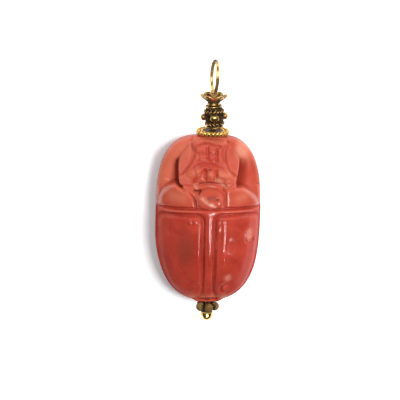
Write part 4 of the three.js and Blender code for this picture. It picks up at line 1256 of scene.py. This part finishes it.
class Work:
    """Parts of one finding, gathered before they are soldered together"""

    def __init__(self):
        self.places = []
        self.faces = []

    def add(self, places, faces):
        start = len(self.places)
        self.places.extend([tuple(place) for place in places])
        self.faces.extend([[start + corner for corner in face] for face in faces])

    def wire(self, points, radius, sides=10):
        """A closed loop of round wire through the points"""
        points = np.asarray(points, dtype=float)
        ahead = np.roll(points, -1, axis=0) - np.roll(points, 1, axis=0)
        ahead /= np.linalg.norm(ahead, axis=1, keepdims=True)
        away = points - points.mean(axis=0)
        away -= ahead * np.sum(away * ahead, axis=1, keepdims=True)
        away /= np.linalg.norm(away, axis=1, keepdims=True)
        up = np.cross(ahead, away)
        turn = np.arange(sides) * 2 * math.pi / sides
        ring = np.cos(turn)[None, :, None] * away[:, None] + np.sin(turn)[None, :, None] * up[:, None]
        places = (points[:, None] + radius * ring).reshape(-1, 3)
        self.add(places, grid_faces(len(points), sides))

    def granule(self, centre, radius, stretch=(1, 1, 1), turn=0.0, slant=0.0):
        """A ball of metal, pulled out if need be and slanted against the pin"""
        ball = bmesh.new()
        shape = Matrix.Translation(centre) @ Matrix.Rotation(turn, 4, "Z")
        shape = shape @ Matrix.Rotation(slant, 4, "X") @ Matrix.Diagonal((*stretch, 1))
        bmesh.ops.create_uvsphere(ball, u_segments=24, v_segments=16, radius=radius, matrix=shape)
        faces = [[vertex.index for vertex in face.verts] for face in ball.faces]
        self.add([vertex.co for vertex in ball.verts], faces)
        ball.free()

    def turned(self, profile, steps=48):
        """A closed section of radius and place along the pin, turned about the pin"""
        profile = np.asarray(profile, dtype=float)
        angle = np.arange(steps) * 2 * math.pi / steps
        ring = np.stack([np.cos(angle), np.sin(angle)], axis=1)
        flat = profile[None, :, 0, None] * ring[:, None, :]
        along = np.broadcast_to(profile[None, :, 1, None], (steps, len(profile), 1))
        places = np.concatenate([flat, along], axis=2).reshape(-1, 3)
        self.add(places, grid_faces(steps, len(profile)))

    def solder(self, name, grain):
        """Melts the parts into one skin; a smaller grain keeps finer detail"""
        piece = mesh_object(name, self.places, self.faces)
        skin = piece.modifiers.new("solder", "REMESH")
        skin.mode = "VOXEL"
        skin.voxel_size = grain
        soften = piece.modifiers.new("soften", "SMOOTH")
        soften.factor = 0.5
        soften.iterations = 2
        finished_mesh(piece)
        piece.data.shade_smooth()
        return piece


def grid_faces(rows, columns):
    """Quads over a grid of points that closes on itself both ways"""
    index = np.arange(rows * columns).reshape(rows, columns)
    right = np.roll(index, -1, axis=1)
    above = np.roll(index, -1, axis=0)
    corner = np.roll(above, -1, axis=1)
    return np.stack([index, right, corner, above], axis=2).reshape(-1, 4).tolist()


def circle(radius, along, count=96):
    angle = np.arange(count) * 2 * math.pi / count
    return np.stack([radius * np.cos(angle), radius * np.sin(angle), np.full(count, along)], axis=1)


def slanted_row(work, radius, along, count, size, slant):
    """A ring of short slanted strokes, as a twisted wire looks once it is worn"""
    for number in range(count):
        angle = number * 2 * math.pi / count
        centre = (radius * math.cos(angle), radius * math.sin(angle), along)
        work.granule(centre, size, (0.8, 1.7, 0.75), angle, slant)


print("tools on the bench:", [tool for tool in vars(Work) if not tool.startswith("_")])


# %% [markdown]
# ## Gold
# Two golds are worn here. The plain ring, pin end and granulated washer are bright yellow and lightly
# scratched. The old bead, flower and granule spacer are black with age in every hollow and bright only
# where they stand up and are rubbed. Each maker of a piece therefore stores a number on it that darkens the
# metal. On the old pieces that is the black grime. On the bright ones it is painted shade under the bead
# and painted dark reflections on the ring. An Ambient Occlusion node adds painted shade in the narrow gaps
# between neighbours and close to the table, and this also stands for the dirt there. Old dirt is no metal.
# Where the metal is darkened, by dirt and by painted shade alike, the surface turns matte and loses its
# mirror.

# %% Gold materials
BRIGHT_GOLD = screen_colour(246, 214, 140)
BRIGHT_GOLD_WARM = screen_colour(222, 172, 90)
BRIGHT_GOLD_DIRT_AND_SHADE = screen_colour(46, 28, 12)
OLD_GOLD = screen_colour(206, 168, 102)
OLD_GOLD_DULL = screen_colour(156, 120, 70)
OLD_GOLD_DIRT_AND_SHADE = screen_colour(26, 17, 10)

RUDDY = screen_colour(170, 66, 36)
DEEP_YELLOW = screen_colour(236, 170, 66)
ALL_MATTE_AT = 0.7


def gold_material(name, bright, warm, dirt_and_shade_colour, reach_mm, dark_from, dark_to, smooth, rough):
    """Clouded metal between two colours, darkened in hollows and where its number says, by painted shade
    and by dirt
    """
    net = Net(name)
    cloud = net.remap(net.noise(1.1, 4, 0.5), 0.35, 0.65)
    colour = net.mix(cloud, warm, bright)
    colour = net.mix(net.number("yellow"), colour, DEEP_YELLOW)
    # Ambient occlusion darkens the gaps between neighbours and the metal near the table: painted shade,
    # which also stands for the dirt there
    hollow = net.nodes.new("ShaderNodeAmbientOcclusion")
    hollow.samples = 8
    hollow.inputs["Distance"].default_value = reach_mm * MM
    grime = net.noise(0.3, 4, 0.3)
    open_share = net.maths("ADD", hollow.outputs["AO"], net.remap(grime, 0.3, 0.7, -0.12, 0.12))
    rubbed_off = net.remap(net.noise(0.25, 2, 0.6), 0.54, 0.68, 1.0, 0.65)
    patchy = net.maths("MULTIPLY", net.number("grime"), rubbed_off)
    dirt_and_shade = net.maths("MAXIMUM", net.remap(open_share, dark_to, dark_from, 0.0, 1.0), patchy)
    colour = net.mix(dirt_and_shade, colour, dirt_and_shade_colour)
    colour = net.mix(net.number("ruddy"), colour, RUDDY)
    net.feed(net.shader.inputs["Base Color"], colour)
    matte = net.maths("MAXIMUM", dirt_and_shade, net.number("ruddy"))
    net.feed(net.shader.inputs["Metallic"], net.remap(matte, 0, ALL_MATTE_AT, 1.0, 0.0))
    net.feed(net.shader.inputs["Specular IOR Level"], net.remap(matte, 0, ALL_MATTE_AT, 0.5, 0.05))
    smear = net.remap(net.noise(0.5, 5, 0.8), 0.3, 0.7, smooth, rough)
    net.feed(net.shader.inputs["Roughness"], net.maths("ADD", smear, net.maths("MULTIPLY", dirt_and_shade, 0.3)))
    net.bump(net.noise(0.16, 4, 0.2), 0.003)
    return net.material


bright_gold = gold_material(
    "bright_gold", BRIGHT_GOLD, BRIGHT_GOLD_WARM, BRIGHT_GOLD_DIRT_AND_SHADE, 0.5, 0.15, 0.55, 0.1, 0.2
)
old_gold = gold_material("old_gold", OLD_GOLD, OLD_GOLD_DULL, OLD_GOLD_DIRT_AND_SHADE, 0.6, 0.3, 0.7, 0.16, 0.3)
print("two golds mixed")

# %% [markdown]
# ## The pin
# The pin is one piece of wire. Its tail end carries a domed head, and its other end is bent into a
# small round eye inside the flower, which the hanging ring passes through. The dome is turned, and
# the wire and eye are plain round wire. A turned shape is closed a hair's breadth from its axis.

# %% Head pin
WIRE_RADIUS = 0.32
END_BALL_RADIUS = 1.18
END_BALL_S = -18.2
END_BALL_LENGTH = 2.0
END_BALL_STEPS = 14
END_BALL_TURN = math.radians(112)
END_BALL_STRETCH = 1.42
CLOSED = 0.001
EYE_RADIUS = 0.56
EYE_WIRE = 0.18
EYE_S = 24.33
EYE_DARKENING = 0.5
PIN_GRAIN = 0.05


def head_pin():
    work = Work()
    tip = END_BALL_S - END_BALL_LENGTH
    profile = [(CLOSED, tip)]
    for step in range(1, END_BALL_STEPS):
        turn = step / END_BALL_STEPS * END_BALL_TURN
        along = tip + (1 - math.cos(turn)) * END_BALL_STRETCH
        profile.append((END_BALL_RADIUS * math.sin(turn) ** 0.9, min(along, END_BALL_S - 0.05)))
    profile += [(0.9, END_BALL_S - 0.03), (0.5, END_BALL_S), (CLOSED, END_BALL_S)]
    work.turned(profile)
    wire_end = EYE_S - EYE_RADIUS
    wire_start = END_BALL_S - 0.3
    wire = [(CLOSED, wire_start), (WIRE_RADIUS, wire_start), (WIRE_RADIUS, wire_end), (CLOSED, wire_end)]
    work.turned(wire, 20)
    angle = np.arange(48) * 2 * math.pi / 48
    level = np.zeros(48)
    eye_points = np.stack([EYE_RADIUS * np.cos(angle), level, EYE_S + EYE_RADIUS * np.sin(angle)], axis=1)
    work.wire(eye_points, EYE_WIRE)
    pin = work.solder("gold_head_pin", PIN_GRAIN)
    along = vertex_places(pin)[:, 2]
    # The eye is painted darker, so that it sinks into the flower, and a dark line is painted where the dome
    # meets the wire
    grime = EYE_DARKENING * soft_step(EYE_S - 1.2, EYE_S - 0.9, along)
    grime += soft_step(0.35, 0.1, np.abs(along - END_BALL_S))
    store_numbers(pin, {"grime": np.clip(grime, 0, 1)})
    return pin


hand_over(head_pin(), "head_pin", bright_gold, along_pin)

# %% [markdown]
# ## The granule spacer at the tail
# Between the coral and the pin's domed head sits a little rosette of gold granules round a short
# sleeve. The granules were melted into balls and soldered side by side, and time has blackened the
# gaps between them. The lowest one rests close to the table, so the ring is turned a few degrees.

# %% Tail rosette
ROSETTE_COUNT = 5
ROSETTE_GRANULE = 0.86
ROSETTE_S = -17.3
ROSETTE_TURN = math.radians(10)
ROSETTE_GRAIN = 0.05
ROSETTE_GRIME = 0.72


def tail_rosette():
    work = Work()
    pitch = ROSETTE_GRANULE / math.sin(math.pi / ROSETTE_COUNT)
    for number in range(ROSETTE_COUNT):
        angle = ROSETTE_TURN - math.pi / 2 + number * 2 * math.pi / ROSETTE_COUNT
        centre = (pitch * math.cos(angle), pitch * math.sin(angle), ROSETTE_S)
        work.granule(centre, ROSETTE_GRANULE)
    near, far = ROSETTE_S - 0.35, ROSETTE_S + 0.35
    work.turned([(0.5, near), (0.95, near), (0.95, far), (0.5, far)])
    rosette = work.solder("gold_tail_rosette", ROSETTE_GRAIN)
    places = vertex_places(rosette)
    angle = np.arctan2(places[:, 1], places[:, 0]) - ROSETTE_TURN + math.pi / 2
    from_middle = np.abs(np.mod(angle / (2 * math.pi / ROSETTE_COUNT) + 0.5, 1) - 0.5) * 2
    between = blend(ROSETTE_GRIME, 1, soft_step(0.45, 0.85, from_middle))
    grime = np.maximum(between, soft_step(1.6, 1.0, np.hypot(places[:, 0], places[:, 1])))
    store_numbers(rosette, {"grime": grime})
    return rosette


hand_over(tail_rosette(), "daisy_spacer", old_gold, along_pin)

# %% [markdown]
# ## The granulated washer at the head
# A flat washer with a row of touching granules round its rim lies against the beetle's front. It is the
# brightest of the small pieces, because it stands out furthest and is rubbed most. Inside its collar it is
# painted dark as the shadow under the bead's end, and the gaps round the collar and between the granules
# are darkened.

# %% Granulated washer
WASHER_S = 16.98
WASHER_PITCH = 2.72
WASHER_HOLE = 0.67
WASHER_GRANULE = 0.42
WASHER_COUNT = 22
WASHER_THICK = 0.2
WASHER_COLLAR = 2.1
WASHER_GRAIN = 0.034
WASHER_YELLOW = 0.6


def granulated_washer():
    work = Work()
    near, far = WASHER_S - WASHER_THICK, WASHER_S + WASHER_THICK
    edge = WASHER_PITCH - 0.12
    work.turned([(WASHER_HOLE, near), (edge, near), (edge, far), (WASHER_HOLE, far)], 72)
    for number in range(WASHER_COUNT):
        angle = (number + 0.5) * 2 * math.pi / WASHER_COUNT
        centre = (WASHER_PITCH * math.cos(angle), WASHER_PITCH * math.sin(angle), WASHER_S)
        work.granule(centre, WASHER_GRANULE, (1, 1, 1.2))
    work.wire(circle(WASHER_COLLAR, far), 0.15)
    washer = work.solder("gold_granulated_washer", WASHER_GRAIN)
    places = vertex_places(washer)
    radius = np.hypot(places[:, 0], places[:, 1])
    # Inside the collar the washer is painted dark as the shadow under the bead's end; the gaps round the
    # collar and between the granules are darkened too
    inside = soft_step(WASHER_COLLAR - 0.05, WASHER_COLLAR - 0.2, radius)
    gap = groove(radius - (WASHER_COLLAR + WASHER_PITCH) / 2 + 0.1, 0.14)
    step = np.mod(np.arctan2(places[:, 1], places[:, 0]) * WASHER_COUNT / (2 * math.pi), 1)
    between = soft_step(0.26, 0.44, np.abs(step - 0.5))
    between *= soft_step(WASHER_PITCH - 0.3, WASHER_PITCH, radius)
    grime = np.clip(inside + 0.8 * gap + 0.9 * between, 0, 1)
    store_numbers(washer, {"grime": grime, "yellow": np.full(len(places), WASHER_YELLOW)})
    return washer


hand_over(granulated_washer(), "granule_ring", bright_gold, along_pin)

# %% [markdown]
# ## The old barrel bead
# The bead is a small barrel with a plain ring at each end, a twisted wire beside each ring and a belt
# of large flattened granules round its belly. Everything on it stands up from a dark ground. It sits
# a touch askew on the pin, which is what a loose old bead does.

# %% Barrel bead
BEAD_START_S = 17.74
BEAD_LENGTH = 4.35
BEAD_HOLE = 0.78
BEAD_END_RADIUS = 1.45
BEAD_BELLY_RADIUS = 1.78
BEAD_TILT = math.radians(4.5)
BEAD_SHIFT_X = 0.2
BELT_COUNT = 4
BELT_RADIUS = 2.02
BELT_GRANULE = 0.7
BELT_STRETCH = (0.8, 1.22, 0.96)
TWISTED_ROWS = [(1.76, 0.85, 15, 0.21, -0.7), (1.79, 3.25, 16, 0.23, 0.7)]
COLLAR_RADIUS = 1.0
COLLAR_LENGTH = 0.5
COLLAR_WIRES = [(1.1, 0.16, 0.14), (1.06, 0.36, 0.16)]
BEAD_GRAIN = 0.042


def bead_body_radius(share):
    swell = np.sin(math.pi * np.clip(share, 0, 1)) ** 0.8
    return BEAD_END_RADIUS - 0.1 + (BEAD_BELLY_RADIUS - BEAD_END_RADIUS + 0.1) * swell


def bead_grime(places):
    """Dark ground, clean wherever the metal stands up from the bead's body"""
    share = (places[:, 2] - BEAD_START_S) / BEAD_LENGTH
    above = np.hypot(places[:, 0], places[:, 1]) - bead_body_radius(share)
    ground = soft_step(0.16, 0.04, above)
    on_collar = soft_step(COLLAR_RADIUS + 0.05, COLLAR_RADIUS - 0.05, np.hypot(places[:, 0], places[:, 1]))
    return np.where(share > 1.01, on_collar, ground)


def barrel_bead():
    work = Work()
    start, end = BEAD_START_S, BEAD_START_S + BEAD_LENGTH
    middle = (start + end) / 2
    body = [(BEAD_HOLE, start + 0.04)]
    for share in np.linspace(0, 1, 15):
        body.append((float(bead_body_radius(share)), start + 0.1 + (BEAD_LENGTH - 0.2) * share))
    body.append((BEAD_HOLE, end - 0.04))
    work.turned(body)
    work.wire(circle(BEAD_END_RADIUS - 0.03, start + 0.2), 0.19)
    work.wire(circle(BEAD_END_RADIUS, end - 0.2), 0.19)
    for radius, rise, count, size, slant in TWISTED_ROWS:
        slanted_row(work, radius, start + rise, count, size, slant)
    for number in range(BELT_COUNT):
        angle = number * 2 * math.pi / BELT_COUNT
        centre = (BELT_RADIUS * math.cos(angle), BELT_RADIUS * math.sin(angle), middle)
        work.granule(centre, BELT_GRANULE, BELT_STRETCH, angle)
    low, high = end - 0.1, end + COLLAR_LENGTH
    work.turned([(BEAD_HOLE, low), (COLLAR_RADIUS, low), (COLLAR_RADIUS, high), (BEAD_HOLE, high)])
    for radius, rise, thickness in COLLAR_WIRES:
        work.wire(circle(radius, end + rise), thickness)
    bead = work.solder("gold_barrel_bead", BEAD_GRAIN)
    store_numbers(bead, {"grime": bead_grime(vertex_places(bead))})
    return bead


bead_middle = BEAD_START_S + BEAD_LENGTH / 2
askew = Matrix.Translation((BEAD_SHIFT_X, 0, bead_middle)) @ Matrix.Rotation(-BEAD_TILT, 4, "Y")
askew = askew @ Matrix.Translation((0, 0, -bead_middle))
hand_over(barrel_bead(), "barrel_bead", old_gold, along_pin @ askew)

# %% [markdown]
# ## The flower cap
# Six petals stand round the rim of a wide little bowl like those of a lily, open in the middle, and
# the pin's eye and the hanging ring sit between them. Each petal is one closed loop of thick wire that
# leans outwards as it rises, filled with a thin dished sheet that has gone dark inside. The same path
# is turned round the pin six times. Low between two petals there is a spot of red.

# %% Flower cap
FLOWER_S = 22.72
PETAL_COUNT = 6
PETAL_START = 1.25
PETAL_REACH = 2.6
PETAL_BASE = 0.38
PETAL_RISE = 0.9
PETAL_HALF_WIDTH = 0.82
PETAL_WIRE = 0.22
PETAL_SHEET = 0.1
PETAL_DISH = 0.12
FLOWER_GRAIN = 0.045
BOWL = [
    (0.5, 0), (1.15, 0), (1.35, 0.15), (1.62, 0.45), (1.85, 0.8),
    (1.68, 0.88), (1.4, 0.6), (1.1, 0.38), (0.5, 0.3),
]


def petal_points(turn_round):
    turn = np.arange(40) * 2 * math.pi / 40
    out = (1 - np.cos(turn)) / 2
    radius = PETAL_START + (PETAL_REACH - PETAL_WIRE - PETAL_START) * out
    side = PETAL_HALF_WIDTH * np.sin(turn) * (0.85 + 0.15 * out)
    rise = FLOWER_S + PETAL_BASE + PETAL_RISE * out**0.9
    x = radius * math.cos(turn_round) - side * math.sin(turn_round)
    y = radius * math.sin(turn_round) + side * math.cos(turn_round)
    return np.stack([x, y, rise], axis=1)


def add_leaf(work, points):
    """A thin dished sheet of metal inside a petal's wire"""
    count = len(points)
    across = np.cross(points[count // 2] - points[0], points[count // 4] - points[3 * count // 4])
    across /= np.linalg.norm(across) * math.copysign(1, across[2])
    middle = points.mean(axis=0) - across * PETAL_DISH
    sheet = across * PETAL_SHEET
    places = np.concatenate([points + sheet, points - sheet, [middle + sheet, middle - sheet]])
    faces = []
    for here in range(count):
        after = (here + 1) % count
        faces += [[2 * count, after, here], [2 * count + 1, count + here, count + after]]
        faces.append([count + here, here, after, count + after])
    work.add(places, faces)


def flower_cap():
    work = Work()
    work.turned([(radius, FLOWER_S + rise) for radius, rise in BOWL])
    for number in range(PETAL_COUNT):
        petal = petal_points(number * 2 * math.pi / PETAL_COUNT)
        work.wire(petal, PETAL_WIRE)
        add_leaf(work, petal)
    flower = work.solder("gold_flower_cap", FLOWER_GRAIN)
    places = vertex_places(flower)
    rise = places[:, 2] - FLOWER_S
    radius = np.hypot(places[:, 0], places[:, 1])
    low = soft_step(1.0, 0.55, rise)
    turn = np.mod(np.arctan2(places[:, 1], places[:, 0]) * PETAL_COUNT / (2 * math.pi) + 0.5, 1) - 0.5
    aside = np.abs(turn) * 2 * math.pi / PETAL_COUNT * radius
    along = radius - (PETAL_START + PETAL_REACH - PETAL_WIRE) / 2
    leaf = soft_step(0.8, 0.5, np.hypot(aside / 0.75, along / 0.5))
    gap = soft_step(0.62, 0.8, aside / np.maximum(radius * 0.52, 0.1))
    grime = np.maximum.reduce([0.9 * low, 0.95 * leaf, 0.6 * gap, 0.95 * soft_step(1.5, 1.2, radius)])
    throat = soft_step(0, 0.3, places[:, 1]) * soft_step(2.1, 1.7, radius)
    notch = soft_step(-1.1, -1.3, places[:, 1]) * soft_step(0.4, 0.6, rise)
    ruddy = groove(places[:, 0] + 0.1, 0.5) * np.maximum(throat, notch)
    store_numbers(flower, {"grime": grime, "ruddy": 0.85 * ruddy})
    return flower


hand_over(flower_cap(), "flower_cap", old_gold, along_pin)

# %% [markdown]
# ## The hanging ring
# A plain ring of round wire hangs in the pin's eye. It stands almost on edge between the petals and leans a
# little to the right. Handling has given it a slight waver. Along two stretches it is painted darker as the
# dark reflections of the polished wire, and its far end is darkened too.

# %% Hanging ring
RING_RADIUS = 3.0
RING_WIRE = 0.33
RING_S = 27.3
RING_HEIGHT = 3.45
RING_LEAN = math.radians(8.1)
RING_TURN = math.radians(-3.4)
RING_SHIFT_X = 0.1
RING_STEPS = 160


def hanging_ring():
    work = Work()
    angle = np.arange(RING_STEPS) * 2 * math.pi / RING_STEPS
    radius = RING_RADIUS - 0.015 + 0.012 * np.sin(3 * angle + 0.5)
    sway = 0.02 * np.sin(2 * angle + 1.0)
    points = np.stack([sway, radius * np.cos(angle), radius * np.sin(angle)], axis=1)
    work.wire(points, RING_WIRE - 0.01, 20)
    ring = mesh_object("gold_hanging_ring", work.places, work.faces)
    places = vertex_places(ring)
    # Two stretches are painted darker as the dark reflections of the polished wire, and the far end is
    # darkened too
    around = np.degrees(np.arctan2(places[:, 1], places[:, 2]))
    far_end = groove(around - 90, 24)
    over = 0.92 * soft_step(16, 4, around) * soft_step(-70, -40, around)
    turned = np.mod(around, 360)
    under = 0.8 * soft_step(105, 122, turned) * soft_step(196, 186, turned)
    store_numbers(ring, {"grime": np.clip(1.1 * far_end + over + under, 0, 1)})
    return ring


ring_x = math.tan(-PIN_LEAN) * (RING_S + HALF_LENGTH) + RING_SHIFT_X
ring_place = Matrix.Translation((ring_x, RING_S, RING_HEIGHT)) @ Matrix.Rotation(RING_TURN, 4, "Z")
ring_place = ring_place @ Matrix.Rotation(RING_LEAN, 4, "Y")
hand_over(hanging_ring(), "bail_ring", bright_gold, ring_place)

# %% [markdown]
# ## Which lamp lights what
# A photographer would flag off each lamp with a piece of card, so that one lamp shapes the pendant and
# another throws its shadow. Blender can do the same with light linking: the soft lamp is told to
# light only the pendant's pieces, and the lower table lamp only the table, with the broad beetle
# alone in its way. The thin findings stand high over the table and their shadow is too faint to see.
# The strips light only the coral, the gold lamp only the gold, and the tail lamp only the pin.

# %% Flag the lamps


def collection_of(name, things):
    listed = bpy.data.collections.new(name)
    for thing in things:
        listed.objects.link(thing)
    return listed


meshes = [thing for thing in bpy.data.objects if thing.type == "MESH"]
gold_pieces = [thing for thing in meshes if thing.name.startswith("gold_")]
pieces = [coral_beetle] + gold_pieces
soft_lamp.light_linking.receiver_collection = collection_of("lit_by_soft_lamp", pieces)
gold_lamp.light_linking.receiver_collection = collection_of("lit_by_gold_lamp", gold_pieces)
pin = bpy.data.objects["gold_head_pin"]
tail_lamp.light_linking.receiver_collection = collection_of("lit_by_tail_lamp", [pin])
for strip in strips:
    strip.light_linking.receiver_collection = collection_of("lit_by_" + strip.name, [coral_beetle])
table_lamp.light_linking.receiver_collection = collection_of("lit_by_table_lamp", [table])
table_lamp.light_linking.blocker_collection = collection_of("shadow_on_table", [coral_beetle])
print(f"soft lamp lights {len(pieces)} pieces, gold lamp {len(gold_pieces)}, table lamp the table")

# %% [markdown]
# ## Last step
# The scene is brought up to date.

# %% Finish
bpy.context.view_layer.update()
